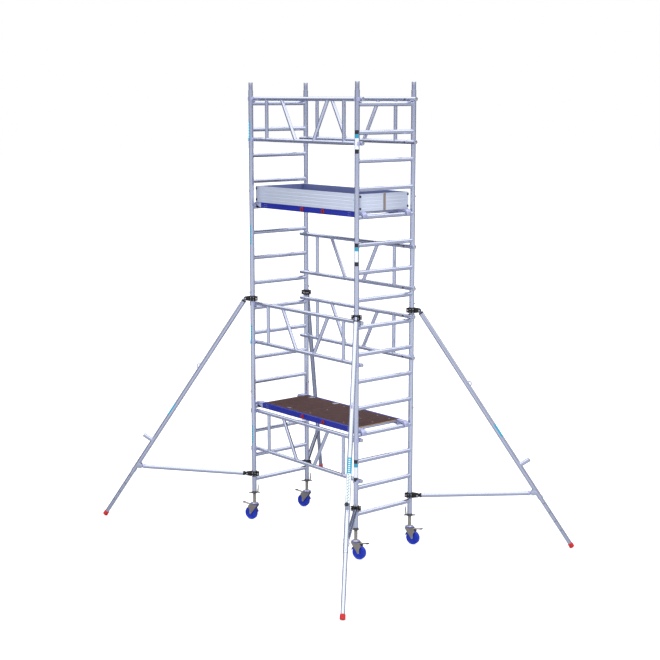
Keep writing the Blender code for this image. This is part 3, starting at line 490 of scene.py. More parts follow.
def surface(name, pattern, colour, shade, metallic, bump, space="UV", coat=0.0, **values):
    """A Principled material whose colour, roughness and relief come from a shared pattern group."""
    made = bpy.data.materials.new(name)
    made.use_nodes = True
    tree = made.node_tree
    shader = tree.nodes["Principled BSDF"]
    shader.inputs["Metallic"].default_value = metallic
    shader.inputs["Coat Weight"].default_value = coat
    place = add(tree, "TexCoord").outputs[space]
    skin = add(tree, "Group", node_tree=bpy.data.node_groups[pattern])
    tree.links.new(place, skin.inputs["Vector"])
    skin.inputs["Colour"].default_value = linear(*colour)
    skin.inputs["Shade"].default_value = linear(*shade)
    for label, value in values.items():
        skin.inputs[label.capitalize()].default_value = value
    relief = add(tree, "Bump", {"Height": skin.outputs["Height"], "Strength": bump, "Distance": 0.0004})
    tree.links.new(skin.outputs["Colour"], shader.inputs["Base Color"])
    tree.links.new(skin.outputs["Roughness"], shader.inputs["Roughness"])
    tree.links.new(relief.outputs[0], shader.inputs["Normal"])
    MATERIALS[name] = made
    return made


def board_surface(name):
    """Film-faced plywood: a brown film pressed with small squares on the faces, plies of wood on the edges."""
    film = {"grain": 300, "gloss": 0.62, "mottle": 0.5, "scuffs": 0.25}
    made = surface(name, "grain", (74, 38, 34), (58, 28, 25), 0.0, 0.0, "Object", **film)
    tree = made.node_tree
    shader = tree.nodes["Principled BSDF"]
    place = add(tree, "TexCoord").outputs["Object"]
    film = shader.inputs["Base Color"].links[0].from_socket
    squares = add(tree, "TexBrick", {"Vector": place, "Scale": 90.0, "Mortar Size": 0.03}, offset=0.0)
    wires = {"Height": squares.outputs["Fac"], "Strength": 0.35, "Distance": 0.0005}
    relief = add(tree, "Bump", wires, invert=True)
    wires = {"Vector": place, "Scale": 260.0, "Distortion": 0.6}
    plies = add(tree, "TexWave", wires, bands_direction="Z")
    wood = mixed(tree, plies.outputs[0], linear(196, 168, 128), linear(142, 110, 76))
    upward = add(tree, "SeparateXYZ", {0: add(tree, "TexCoord").outputs["Normal"]})
    face = add(tree, "Math", {0: upward.outputs["Z"], 1: 0.0}, operation="ABSOLUTE")
    flat = add(tree, "MapRange", {"Value": face.outputs[0], "From Min": 0.5, "From Max": 0.6})
    lines = mixed(tree, squares.outputs["Fac"], film, linear(48, 25, 22))
    tree.links.new(mixed(tree, flat.outputs[0], wood, lines), shader.inputs["Base Color"])
    tree.links.new(relief.outputs[0], shader.inputs["Normal"])
    return made


def make_materials():
    scuff_group()
    drawn_group()
    grain_group()
    drawn = {"lines": 700.0, "gloss": 0.2, "streaks": 0.22, "scuffs": 0.07}
    surface("aluminium", "drawn_metal", (212, 217, 234), (178, 185, 211), 0.9, 0.04, **drawn)
    surface("leg_aluminium", "drawn_metal", (212, 217, 232), (170, 178, 202),
            0.92, 0.05, **(drawn | {"gloss": 0.17}))
    surface("toe_metal", "drawn_metal", (218, 226, 240), (192, 201, 220),
            0.45, 0.08, **(drawn | {"gloss": 0.36}))
    # Darker blue-grey copy of toe_metal for the boards' inner faces: painted shade.
    surface("toe_inner_painted_shade", "drawn_metal", (112, 122, 172), (92, 100, 150),
            0.3, 0.1, **(drawn | {"gloss": 0.45}))
    surface("steel", "drawn_metal", (176, 168, 156), (122, 114, 102),
            0.9, 0.2, **(drawn | {"gloss": 0.33, "scuffs": 0.4}))
    surface("bright_steel", "drawn_metal", (214, 216, 220), (160, 160, 166),
            0.95, 0.1, **(drawn | {"gloss": 0.25}))
    cast = {"space": "Object", "grain": 420.0, "mottle": 0.5, "scuffs": 0.2, "gloss": 0.4}
    surface("cast_aluminium", "grain", (206, 210, 240), (166, 170, 208), 0.7, 0.3, **cast)
    surface("cast_iron", "grain", (112, 108, 106), (72, 68, 66), 0.8, 0.6, **(cast | {"gloss": 0.5}))
    surface("black_cast", "grain", (34, 34, 36), (58, 56, 52), 0.35, 0.5, **cast)
    surface("black_plastic", "grain", (26, 27, 31), (52, 52, 56), 0.0, 0.4, **(cast | {"gloss": 0.38}))
    surface("blue_rail", "grain", (12, 30, 138), (20, 40, 152),
            0.0, 0.15, coat=0.1, **(cast | {"grain": 900.0}))
    surface("blue_tyre", "grain", (10, 46, 176), (22, 62, 196),
            0.0, 0.3, coat=0.15, **(cast | {"gloss": 0.34}))
    # Dark navy for the arc over each castor wheel: painted shade.
    surface("navy_gap_shade", "grain", (30, 38, 130), (44, 52, 150), 0.0, 0.3, **cast)
    surface("swivel_blue", "grain", (88, 92, 190), (120, 122, 200), 0.5, 0.3, **cast)
    surface("knob_red", "grain", (168, 28, 44), (112, 18, 34), 0.0, 0.5, **(cast | {"gloss": 0.45}))
    surface("red_rubber", "grain", (206, 40, 40), (176, 28, 30), 0.0, 0.5, **(cast | {"gloss": 0.45}))
    surface("strap_brown", "grain", (168, 150, 138), (122, 100, 88), 0.4, 0.3, **cast)
    film = {"space": "Object", "grain": 1200.0, "mottle": 0.35, "scuffs": 0.12, "gloss": 0.3,
            "coat": 0.2}
    surface("teal_film", "grain", (70, 138, 128), (104, 166, 156), 0.0, 0.05, **film)
    surface("cyan_film", "grain", (38, 160, 192), (30, 138, 172), 0.0, 0.05, **film)
    surface("white_film", "grain", (236, 240, 244), (212, 218, 226), 0.0, 0.05, **film)
    surface("black_film", "grain", (30, 33, 38), (52, 55, 62), 0.0, 0.05, **film)
    board_surface("deck_board")


make_materials()

# --- End frames ------------------------------------------------------------------------------------
CLIP_RISE = 0.035  # a joint clip's pin above its joint
CLIP_PIN = 0.0045
CLIP_WIRE = 0.0015


def upright_skin(y):
    """An upright tube with its spigot, its foot at z = 0."""
    edge, bore, top = 0.001, UPRIGHT - UPRIGHT_WALL, LIFT + SPIGOT_HEIGHT
    shoulder, socket = LIFT - 0.0003, SPIGOT - SPIGOT_WALL
    profile = [(bore, edge), (bore + edge, 0), (UPRIGHT - edge, 0), (UPRIGHT, edge)]
    profile += [(UPRIGHT, LIFT - edge), (UPRIGHT - edge, shoulder), (SPIGOT, shoulder), (SPIGOT, top - 0.006)]
    profile += [(SPIGOT - 0.002, top - 0.001), (SPIGOT - 0.003, top), (socket, top)]
    profile += [(socket, LIFT - SPIGOT_SEAT), (bore, LIFT - SPIGOT_SEAT)]
    return moved(turned(profile, ring=True), at(0, y, 0))


def end_frame_parts():
    """Two uprights, four rungs and the beads that weld them, standing on z = 0 in the YZ plane."""
    parts = Parts()
    for side in (-1, 1):
        parts.put("aluminium", upright_skin(side * HALF_WIDTH))
    reach = HALF_WIDTH - UPRIGHT / 2
    for number in range(RUNGS):
        z = (number + 0.5) * LIFT / RUNGS
        parts.put("aluminium", rod((0, -reach, z), (0, reach, z), RUNG))
        bead = moved(weld(RUNG, UPRIGHT), at(0, -HALF_WIDTH, z))
        for half_turn in (0, math.pi):
            parts.put("aluminium", bead, about("Z", half_turn))
    return parts


def joint_clip(out):
    """Locking pin through a joint of the uprights and the spring wire that holds it; z = 0 at the pin."""
    parts = Parts()
    pin = rod((0, -out * (UPRIGHT + 0.004), 0), (0, out * (UPRIGHT + 0.012), 0), CLIP_PIN, 16)
    parts.put("bright_steel", pin)
    parts.put("bright_steel", dome(0.0085, 0.004, 20), stood((0, out * (UPRIGHT + 0.011), 0), (0, out, 0)))
    turns, reach = np.radians(np.linspace(90, 400, 40)), UPRIGHT + 0.003
    loop = [reach * np.cos(turns), out * reach * np.sin(turns), 0.018 * np.sin(turns / 2 - 0.8)]
    parts.put("bright_steel", wire(np.stack(loop, -1), CLIP_WIRE))
    return parts


def make_end_frames():
    for lift in range(LIFTS):
        for name, side in (("left", -1), ("right", 1)):
            place = at(side * HALF_LENGTH, 0, FRAME_BASE + lift * LIFT)
            node = f"end_frame_{lift + 1}_{name}"
            piece(node + "_tubes", placed(end_frame_parts(), place), "tower", [node])
    clips = []
    for corner, (_, side_y) in CORNERS.items():
        for lift in range(1, LIFTS):
            clips += placed(joint_clip(side_y), beside(corner, FRAME_BASE + lift * LIFT + CLIP_RISE))
    piece("joint_clips", clips, "tower")


# --- Guardrails ------------------------------------------------------------------------------------
GUARD_Y = HALF_WIDTH - UPRIGHT - GUARD_TUBE - 0.0008
GUARD_GROOVES = (52, 128, 232, 308)
GUARD_NODES = ("front_low", "front_middle", "back_middle", "back_high", "front_top", "back_top")
CLAW_OPENING = (-38, 218)  # the metal's two ends, in degrees round the upright
BUTTON_PLACE = 0.062  # from the upright's axis
FERRULE = (0.040, 0.034)
MEMBER_START = 0.012  # a post's end inside the tube that it is welded to


def claw_skin():
    """A cast claw: a C in plan round the upright, open on the outer side, blended into the tube."""
    bore, outer = UPRIGHT + 0.0005, UPRIGHT + 0.0005 + CLAW_WALL
    centre, (first, last) = (0, -(HALF_WIDTH - GUARD_Y)), CLAW_OPENING
    outline = np.concatenate([arc(centre, outer, first, last, 40), arc(centre, bore, last, first, 40)])
    return slab(outline, -CLAW_HEIGHT / 2, CLAW_HEIGHT / 2, 0.0015)


def guardrail_parts(facing):
    """Two tubes, posts, braces and claws, the outer face at -Y; facing is the X end with dark buttons."""
    parts = Parts()
    ends = ((-HALF_LENGTH - GUARD_LONG_END, -1), (HALF_LENGTH + GUARD_SHORT_END, 1))
    mouth, grip = GUARD_TUBE - 0.0005, GUARD_TUBE + 0.0025
    plug = turned([(mouth, -0.006), (mouth, -0.0006), (GUARD_TUBE - 0.004, 0)])
    press = block((-0.011, -grip, -0.007), (0.011, grip, 0.007), 0.003, 0.0012)
    for z in (0, -GUARD_DROP):
        start, end = ((x, 0, z) for x, _ in ends)
        parts.put("aluminium", grooved_tube(start, end, GUARD_TUBE, GUARD_WALL, GUARD_GROOVES))
        for x, out in ends:
            parts.put("bright_steel", plug, stood((x, 0, z), (out, 0, 0)))
        for side in (-1, 1):
            x = side * HALF_LENGTH
            parts.put("cast_aluminium", claw_skin(), at(x, 0, z))
            shade = "black_plastic" if side * facing > 0 else "steel"
            parts.put(shade, press, at(x - side * BUTTON_PLACE, 0, z))
            start, end = ((x - side * gap, 0, z) for gap in FERRULE)
            parts.put("cast_aluminium", tube(start, end, GUARD_TUBE + 0.0012, 0.002))
    members = [((x, 0, 0), (x, 0, -GUARD_DROP)) for x in GUARD_POSTS]
    members += [((top, 0, 0), (foot, 0, -GUARD_DROP)) for top, foot in GUARD_BRACES]
    bead = weld(GUARD_POST, GUARD_TUBE + 0.0004, 0.0018)
    for start, end in members:
        start, end = Vector(start), Vector(end)
        way = (end - start).normalized()
        parts.put("aluminium", rod(start + way * MEMBER_START, end - way * MEMBER_START, GUARD_POST))
        for place, up in ((start, way), (end, -way)):
            lie = Matrix(((0, up.x, -up.z, 0), (1, 0, 0, 0), (0, up.z, up.x, 0), (0, 0, 0, 1)))
            parts.put("aluminium", bead, Matrix.Translation(place) @ lie)
    return parts


def make_guardrails():
    for name in GUARD_NODES:
        node = "guardrail_" + name
        low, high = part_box(node)
        side = 1 if name.startswith("back") else -1
        place = at(0, side * GUARD_Y, (low.z + high.z + GUARD_DROP) / 2)
        place = place @ about("Z", math.pi if side > 0 else 0)
        piece(node + "_tubes", placed(guardrail_parts(-side), place), "tower", [node])


# --- Platforms -------------------------------------------------------------------------------------
ALONG_X = Matrix(((0, 0, 1, 0), (1, 0, 0, 0), (0, 1, 0, 0), (0, 0, 0, 1)))
RAIL_END = 0.0975  # from the end frame's middle plane
RUNG_RISE = 0.008  # the rung's axis above the rail's foot
DECK_SEAT = 0.0103  # the bars' top below the rail's top
BARS = (-0.044, 0.511, 0.698)  # cross bars between the two end ones
BAR_HALF = 0.015
BAR_DEPTH = 0.022
HOOK_REACH = 0.0995
HOOK_RIVETS = (0.058, 0.084)
RAIL_RIVETS = (-0.712, -0.684, 0.684, 0.712)
HINGES = (0.096, 0.093)  # from the hatch's two ends
LATCH = 0.039  # from the hatch's middle
LEAF = 0.0016


def rail_skin(side, width, low, high, half_length):
    """A channel section with softened corners, its web outside, carried along X."""
    inner, web = width - RAIL_DEPTH, width - RAIL_WALL
    points = [(width, low), (width, high), (inner, high), (inner, high - RAIL_WALL)]
    points += [(web, high - RAIL_WALL), (web, low + RAIL_WALL), (inner, low + RAIL_WALL), (inner, low)]
    outline = rounded(points, (0.0025, 0.0025, 0.0008, 0.0008, 0.001, 0.001, 0.0008, 0.0008))
    skin = moved(slab(outline, -half_length, half_length, 0.0006), ALONG_X)
    return skin if side > 0 else moved(skin, about("Z", math.pi))


def hook_skin(reach, top, bottom):
    """A hook head seen from the side, round the rung and back to the rail's end, across HOOK_WIDTH."""
    jaw, outer = RUNG + 0.0008, RUNG + 0.0008 + HOOK_LIP
    back = -jaw - 0.001
    body = rounded([(-reach, bottom), (back, bottom), (back, bottom + 0.004)], 0.0006)
    corners = [(outer, bottom), (outer, outer * 0.7), (outer * 0.45, top), (-reach, top)]
    head = rounded(corners, (0.003, 0.012, 0.016, 0.002))
    outline = np.concatenate([body[:-4], arc((0, 0), jaw, 180, 0, 20), [(jaw, bottom)], head])
    return moved(slab(outline, -HOOK_WIDTH / 2, HOOK_WIDTH / 2, 0.0025), UPENDED)


def knob_parts():
    """A clamping knob on the rail's outer face, Z outwards: its disc's radius is r + 0.7 mm cos 16 t."""
    turns = np.linspace(0, 2 * np.pi, 64, endpoint=False)
    rows = [(0.0210, 0.0), (0.0235, 0.001), (0.0235, 0.009), (0.0215, 0.011), (0.0165, 0.0114), (0.015, 0.01)]
    ribbed = [(r + 0.0007 * np.cos(16 * turns), z) for r, z in rows]
    loops = [np.stack([r * np.cos(turns), r * np.sin(turns), np.full(64, z)], -1) for r, z in ribbed]
    parts = Parts()
    parts.put("knob_red", loft(np.array(loops)))
    parts.put("black_plastic", block((-0.017, -0.0045, 0.008), (0.017, 0.0045, 0.0138), 0.003, 0.0015))
    return parts


def platform_parts(low, high):
    """Side rails, cross bars, hooks, knobs and rivets of one platform, from its box; z as in the tower."""
    parts = Parts()
    width, half_length, rung_z = high.y, HALF_LENGTH - RAIL_END, low.z + RUNG_RISE
    inner, seat = width - RAIL_WALL, high.z - DECK_SEAT
    for side in (-1, 1):
        parts.put("blue_rail", rail_skin(side, width, low.z, high.z, half_length))
    for x in (BAR_HALF - half_length, *BARS, half_length - BAR_HALF):
        bar = block((x - BAR_HALF, -inner, seat - BAR_DEPTH), (x + BAR_HALF, inner, seat), 0.002, 0.001)
        parts.put("aluminium", bar)
    hook = hook_skin(HOOK_REACH, high.z - rung_z, low.z - rung_z)
    for end in (-1, 1):
        for side in (-1, 1):
            place = at(end * HALF_LENGTH, side * (width - HOOK_WIDTH / 2), rung_z)
            parts.put("cast_aluminium", hook, place @ about("Z", 0 if end > 0 else math.pi))
            for x in HOOK_RIVETS:
                spot = (end * (HALF_LENGTH - x), side * (width - 0.0002), rung_z + 0.022)
                parts.put("bright_steel", dome(0.0055, 0.0024), stood(spot, (0, side, 0)))
    for x in KNOBS:
        parts += placed(knob_parts(), stood((x, -width, (low.z + high.z) / 2), (0, -1, 0)))
    for side in (-1, 1):
        for x in RAIL_RIVETS:
            for z in (0.018, 0.042):
                spot = stood((x, side * width, low.z + z), (0, side, 0))
                parts.put("bright_steel", dome(0.0042, 0.0018), spot)
    return parts


def plate(x, half, near, far, low, high, corner, edge):
    """A thin plate on a deck, reaching half its length each way from x and across from near to far."""
    return block((x - half, near, low), (x + half, far, high), corner, edge)


def deck_fittings(level, top, hatch):
    """Hinges and latch of a hatch and the screws of the deck: those that stay, and those that swing."""
    low, high = hatch
    fixed, moving = Parts(), Parts()
    _, y, z = JOINTS[f"hatch_{level}_open"]["pos_m"]
    for x in (low.x + HINGES[0], high.x - HINGES[1]):
        fixed.put("bright_steel", rod((x - 0.028, y, z - 0.0008), (x + 0.028, y, z - 0.0008), 0.0036, 20))
        fixed.put("bright_steel", plate(x, 0.030, y, y + 0.030, top, top + LEAF, 0.004, 0.0005))
        moving.put("bright_steel", plate(x, 0.030, y - 0.040, y - 0.002, top, top + LEAF, 0.004, 0.0005))
        for dx in (-0.018, 0.018):
            moving.put("steel", dome(0.004, 0.0016), at(x + dx, y - 0.026, top + LEAF))
            fixed.put("steel", dome(0.004, 0.0016), at(x + dx, y + 0.018, top + LEAF))
    x, y = (low.x + high.x) / 2 + LATCH, low.y
    moving.put("bright_steel", plate(x, 0.028, y + 0.004, y + 0.030, top, top + 0.0024, 0.006, 0.0008))
    slot = plate(x, 0.017, y + 0.010, y + 0.022, top + 0.0020, top + 0.0028, 0.005, 0.0003)
    moving.put("black_plastic", slot)
    for x in BARS:
        for y in (-0.24, 0.0, 0.24):
            fixed.put("bright_steel", dome(0.0062, 0.0016, 18), at(x, y, top))
    return fixed, moving


def make_platforms():
    for level in ("lower", "upper"):
        node, deck, hatch = f"platform_frame_{level}", f"deck_{level}", f"hatch_{level}"
        piece(node + "_rails", platform_parts(*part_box(node)), "tower", [node])
        for board in (deck, hatch):
            shown = frame["nodes"][board]
            shown.data.materials.clear()
            shown.data.materials.append(MATERIALS["deck_board"])
        fixed, moving = deck_fittings(level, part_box(deck)[1].z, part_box(hatch))
        piece(deck + "_fittings", fixed, "tower")
        piece(hatch + "_fittings", moving, hatch)


# --- Toe boards ------------------------------------------------------------------------------------
TOE_RIBS = (0.2, 0.4, 0.6, 0.8)
TOE_RIB_DEPTH = 0.0020
STRAP_HALF = 0.015
STRAP_RIVETS = (0.030, 0.0875, 0.145)
CLIP_HEIGHTS = (0.028, 0.150)
CLIP_HALF = 0.012


def toe_board_parts(length, thickness, height):
    """A board along X and a blue-grey sheet on its inner face that is painted shade, the outer face at -Y and
    the foot at z = 0.

    At height h the outer face lies a depth d sum exp(-((h / height - r) / 0.012)^2) in, over its ribs r."""
    rise = np.linspace(0.0, 1.0, 121)
    wave = TOE_RIB_DEPTH * np.exp(-(((rise[:, None] - np.array(TOE_RIBS)) / 0.012) ** 2)).sum(1)
    outer = np.stack([-thickness + wave, rise * height], -1)
    outline = np.concatenate([outer, [(-0.0012, height), (-0.0012, 0)]])[::-1]
    half = length / 2
    parts = Parts()
    parts.put("toe_metal", slab(outline, -half, half, 0.0008), ALONG_X)
    # Blue-grey sheet over the board's inner face: painted shade for the shade on the board's inside.
    inner_shade_sheet = block((-half + 0.001, -0.0014, 0.002), (half - 0.001, 0, height - 0.002), 0.0005, 0.0004)
    parts.put("toe_inner_painted_shade", inner_shade_sheet)
    return parts


def make_toe_boards():
    for name, heading in (("front", 0), ("right", 90), ("back", 180), ("left", 270)):
        node = "toe_board_" + name
        low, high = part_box(node)
        size, centre = high - low, (low + high) / 2
        across = name in ("front", "back")
        length, thickness = (size.x, size.y) if across else (size.y, size.x)
        turn = about("Z", math.radians(heading))
        origin = Vector((centre.x, centre.y, low.z)) + turn @ Vector((0, 1, 0)) * (thickness / 2)
        parts = toe_board_parts(length, thickness, size.z)
        if across:
            for side in (-1, 1):
                for z in CLIP_HEIGHTS:
                    x = side * (length / 2 - CLIP_HALF)
                    start = (x - CLIP_HALF, -thickness - 0.004, z - CLIP_HALF)
                    clip = block(start, (x + CLIP_HALF, 0.004, z + CLIP_HALF), 0.004, 0.0015)
                    parts.put("black_plastic", clip)
        else:
            face = -thickness - 0.0022
            end = (STRAP_HALF, -thickness + 0.001, size.z - 0.002)
            parts.put("strap_brown", block((-STRAP_HALF, face, 0.002), end, 0.003, 0.0008))
            for z in STRAP_RIVETS:
                parts.put("bright_steel", dome(0.0045, 0.0018), stood((0, face, z), (0, -1, 0)))
        parts = placed(parts, Matrix.Translation(origin) @ turn)
        piece(node + "_extrusion", parts, "tower", [node])


# --- Adjustable legs and castors: X trails the swivel axis, z = 0 on the ground --------------------
PLATE_RISE = 0.0093  # the swivel plate's top above the fork's crown
FORK_HALF = 0.0245  # from the middle plane to a cheek's inner face
FORK_HUB = 0.0125
CHEEK = 0.004
GAP_SHADE_ARC = (118, 168)  # the dark navy arc's two ends, in degrees round the axle: painted shade over the wheel
GAP_SHADE_RADII = (0.0865, 0.0835)
PEDAL_TILT = -8


def leg_parts_below():
    """Threaded hollow spindle, the swivel plate with its raised rim, and the kingpin."""
    low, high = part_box("leg_spindle_front_left")
    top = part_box("castor_fork_front_left")[1].z + PLATE_RISE
    plate_profile = [(0.018, top - 0.009), (0.042, top - 0.009), (0.042, top - 0.001), (0.024, top - 0.001)]
    plate_profile += [(0.0215, top + 0.004), (0.0185, top + 0.006), (0.0150, top + 0.006)]
    rim = [(0.0415, top - 0.009), (0.044, top - 0.009), (0.0465, top - 0.007)]
    rim += [(0.0465, top - 0.001), (0.0440, top + 0.0012), (0.0415, top - 0.0006)]
    pin = [(0.007, low.z), (0.0125, low.z + 0.001), (0.0125, low.z + 0.008)]
    pin += [(0.008, low.z + 0.009), (0.008, top - 0.008)]
    parts = Parts()
    parts.put("steel", thread(SPINDLE, SPINDLE_BORE, top - 0.002, high.z))
    parts.put("bright_steel", turned(plate_profile))
    parts.put("swivel_blue", turned(rim, ring=True))
    parts.put("steel", turned(pin))
    return parts


def nut_parts():
    """Cast adjusting nut: a collared hub, two flat wings and a lever; z = 0 at its upper face."""
    hub = [(0.0186, -0.026), (0.029, -0.026), (0.032, -0.024), (0.0325, -0.016), (0.027, -0.010)]
    hub += [(0.0265, -0.002), (0.0250, 0), (0.0186, 0)]
    wing = np.concatenate([arc((0.056, 0), 0.008, -80, 80, 10), [(0.026, 0.011), (0.026, -0.011)]])
    stem = [(0.030, -0.022), (0.045, -0.022), (0.049, 0.040), (0.047, 0.074), (0.039, 0.074), (0.037, 0.030)]
    parts = Parts()
    parts.put("cast_iron", turned(hub, ring=True))
    for half_turn in (0, math.pi):
        parts.put("cast_iron", slab(wing, -0.024, -0.014, 0.002), about("Z", half_turn))
    parts.put("cast_iron", slab(rounded(stem, 0.003), -0.007, 0.007, 0.002), UPENDED)
    return parts


def fork_parts(trail, axle_z, crown):
    """Two pressed cheeks, the crown between them, the axle bolt, and a dark navy arc over the leading side that
    is painted shade in the gap above the wheel.
    """
    parts = Parts()
    axle = (trail, axle_z)
    front = [(-0.044, crown), (-0.044, crown - 0.016)]
    back = [(trail + FORK_HUB, axle_z + 0.038), (trail + 0.020, axle_z + 0.056)]
    back += [(trail + 0.030, axle_z + 0.066), (trail + 0.032, crown - 0.030), (0.044, crown)]
    outline = np.concatenate([front, arc(axle, FORK_HUB, 195, 350, 14), back])
    washer = turned([(0.0100, 0.0), (0.0112, 0.0006), (0.0112, 0.0014), (0.0090, 0.0018)], 24)
    for side in (-1, 1):
        y0, y1 = sorted((-side * FORK_HALF, -side * (FORK_HALF + CHEEK)))
        parts.put("steel", slab(outline, y0, y1, 0.001), UPENDED)
        spot = stood((trail, side * (FORK_HALF + 0.0038), axle_z), (0, side, 0))
        parts.put("bright_steel", washer, spot)
        parts.put("steel", hex_head(0.0085, 0.0062), spot)
    reach = FORK_HALF + 0.003
    parts.put("steel", block((-0.042, -reach, crown - 0.008), (0.042, reach, crown), 0.006, 0.0012))
    parts.put("steel", rod((trail, -FORK_HALF, axle_z), (trail, FORK_HALF, axle_z), 0.006, 20))
    # Dark navy arc between the plate and the wheel on the leading side: painted shade in that gap.
    (first, last), (outer, inner) = GAP_SHADE_ARC, GAP_SHADE_RADII
    rim = np.concatenate([arc(axle, outer, first, last, 14), arc(axle, inner, last, first, 14)])
    parts.put("navy_gap_shade", slab(rim, -FORK_HALF + 0.001, FORK_HALF - 0.001, 0.0008), UPENDED)
    return parts


def wheel_parts(radius, width):
    """Wheel with a dished web, a bush and a crowned tread; its axle is Z, its centre the origin.

    At distance z from the middle plane the tread's radius is r - 0.4 mm - 2.2 mm (z / half width)^4."""
    half = width / 2
    crown = [(radius - 0.0004 - 0.0022 * (z / half) ** 4, z) for z in np.linspace(-half * 0.82, half * 0.82, 13)]
    face = [(radius - 0.006, half * 0.97), (radius - 0.0115, half), (radius - 0.0145, half * 0.90)]
    face += [(radius - 0.019, half * 0.60), (0.030, half * 0.52), (0.021, half * 0.62), (0.0185, half * 0.98)]
    ring = [(r, -z) for r, z in face[::-1]] + crown + face
    end = half + 0.001
    rib = block((0.020, -0.0022, half * 0.35), (radius - 0.0155, 0.0022, half * 0.78), 0.0015, 0.0010)
    parts = Parts()
    parts.put("blue_tyre", turned([(0.0095, -half)] + ring + [(0.0095, half)], 72, ring=True))
    bush = [(0.0066, -end), (0.0094, -end), (0.0094, end), (0.0066, end)]
    parts.put("steel", turned(bush, 32, ring=True))
    for flip in (math.pi, 0):
        for turn in np.arange(6) * math.pi / 3:
            parts.put("blue_tyre", rib, about("X", flip) @ about("Z", turn))
    return parts


def pedal_parts():
    """Brake pedal: a bent tread with a dark tip, on its hub across Y."""
    tilt = about("Y", math.radians(PEDAL_TILT))
    tread = [(0, -0.014), (0.030, -0.0175), (0.096, -0.0175), (0.096, 0.0175), (0.030, 0.0175), (0, 0.014)]
    lip = [(0.076, -0.0182), (0.103, -0.0182), (0.103, 0.0182), (0.076, 0.0182)]
    parts = Parts()
    parts.put("steel", rod((0, -0.0225, 0), (0, 0.0225, 0), 0.008, 24))
    parts.put("steel", slab(rounded(tread, 0.005), -0.0026, 0.0022, 0.001), tilt)
    parts.put("black_plastic", slab(rounded(lip, 0.005), -0.0036, 0.0042, 0.0014), tilt)
    for x in (0.040, 0.050, 0.060):
        rib = block((x - 0.0016, -0.012, 0.0015), (x + 0.0016, 0.012, 0.0034), 0.001, 0.0007)
        parts.put("steel", rib, tilt)
    return parts


def heading_of_nut(corner):
    """Direction of the nut's lever: the highest points of its node lie on the lever."""
    node = frame["nodes"]["adjusting_nut_" + corner]
    points = np.array([vertex.co for vertex in node.data.vertices])
    tip = points[points[:, 2] > points[:, 2].max() - 0.001].mean(0)
    side_x, side_y = CORNERS[corner]
    return math.atan2(tip[1] - side_y * HALF_WIDTH, tip[0] - side_x * HALF_LENGTH)


def make_legs():
    for corner in CORNERS:
        spindle, nut, fork = "leg_spindle_" + corner, "adjusting_nut_" + corner, "castor_fork_" + corner
        wheel, pedal = "castor_wheel_" + corner, "brake_pedal_" + corner
        axle = Vector(JOINTS[f"wheel_{corner}_roll"]["pos_m"])
        trail = axle.xy - beside(corner).translation.xy
        turn = about("Z", math.atan2(trail.y, trail.x))
        place = beside(corner) @ turn
        piece(spindle + "_screw", placed(leg_parts_below(), place), "leg_" + corner, [spindle])
        lean = beside(corner, FRAME_BASE - 0.0003) @ about("Z", heading_of_nut(corner))
        piece(nut + "_casting", placed(nut_parts(), lean), "nut_" + corner, [nut])
        parts = placed(fork_parts(trail.length, axle.z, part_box(fork)[1].z), place)
        piece(fork + "_pressing", parts, "castor_" + corner, [fork])
        low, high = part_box(wheel)
        parts = wheel_parts((high.z - low.z) / 2, WHEEL_WIDTH)
        parts = placed(parts, Matrix.Translation(axle) @ turn @ UPENDED)
        piece(wheel + "_moulding", parts, "wheel_" + corner, [wheel])
        pivot = Matrix.Translation(JOINTS[f"pedal_{corner}_press"]["pos_m"])
        piece(pedal + "_tread", placed(pedal_parts(), pivot @ turn), "pedal_" + corner, [pedal])


# --- Stabilisers: X outwards from the upright's axis, z = 0 on the ground --------------------------
CLAMP_LOW, CLAMP_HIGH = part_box("stabiliser_clamp_front_left")
UPPER_CLAMP_Z = (CLAMP_LOW.z + CLAMP_HIGH.z) / 2
CLAMP_HEIGHT = CLAMP_HIGH.z - CLAMP_LOW.z
LOWER_CLAMP_Z = FRAME_BASE + 0.202
SLIDE = JOINTS["foot_front_left_extend"]["axis"]
WAY = Vector((math.hypot(SLIDE[0], SLIDE[1]), 0, SLIDE[2]))
UNDER = Vector((WAY.z, 0, -WAY.x))
ACROSS = Vector((0, 1, 0))
LEG_PIVOT = Vector((CLAMP_PIVOT, 0, UPPER_CLAMP_Z))
LEG_TOTAL = -LEG_PIVOT.z / WAY.z
LEG_GROOVES = ((50, 130, 230, 310), 0.0014, 0.10)  # headings, depth and width in radians
EYE = 0.0188  # radius of a lug's eye
FLANGE_BOLT_Y = 0.0455
FLANGE_BOLTS = (-0.014, 0.014)
SWING_BOLT = 0.016  # behind the clamp's bore
BRACKET_BOLT = 0.024  # either side of the bracket's middle
PIN_BACK = 0.022  # locking pin from the outer tube's end
LAP = 0.5  # length of the inner leg inside the outer one
FOOT_RIBS = 5


def along_leg(distance, under=0.0):
    return LEG_PIVOT + WAY * distance + UNDER * under


def facing(x, z):
    """Matrix whose local X is x and local Z is z, at the origin."""
    return Matrix((x, z.cross(x), z)).transposed().to_4x4()


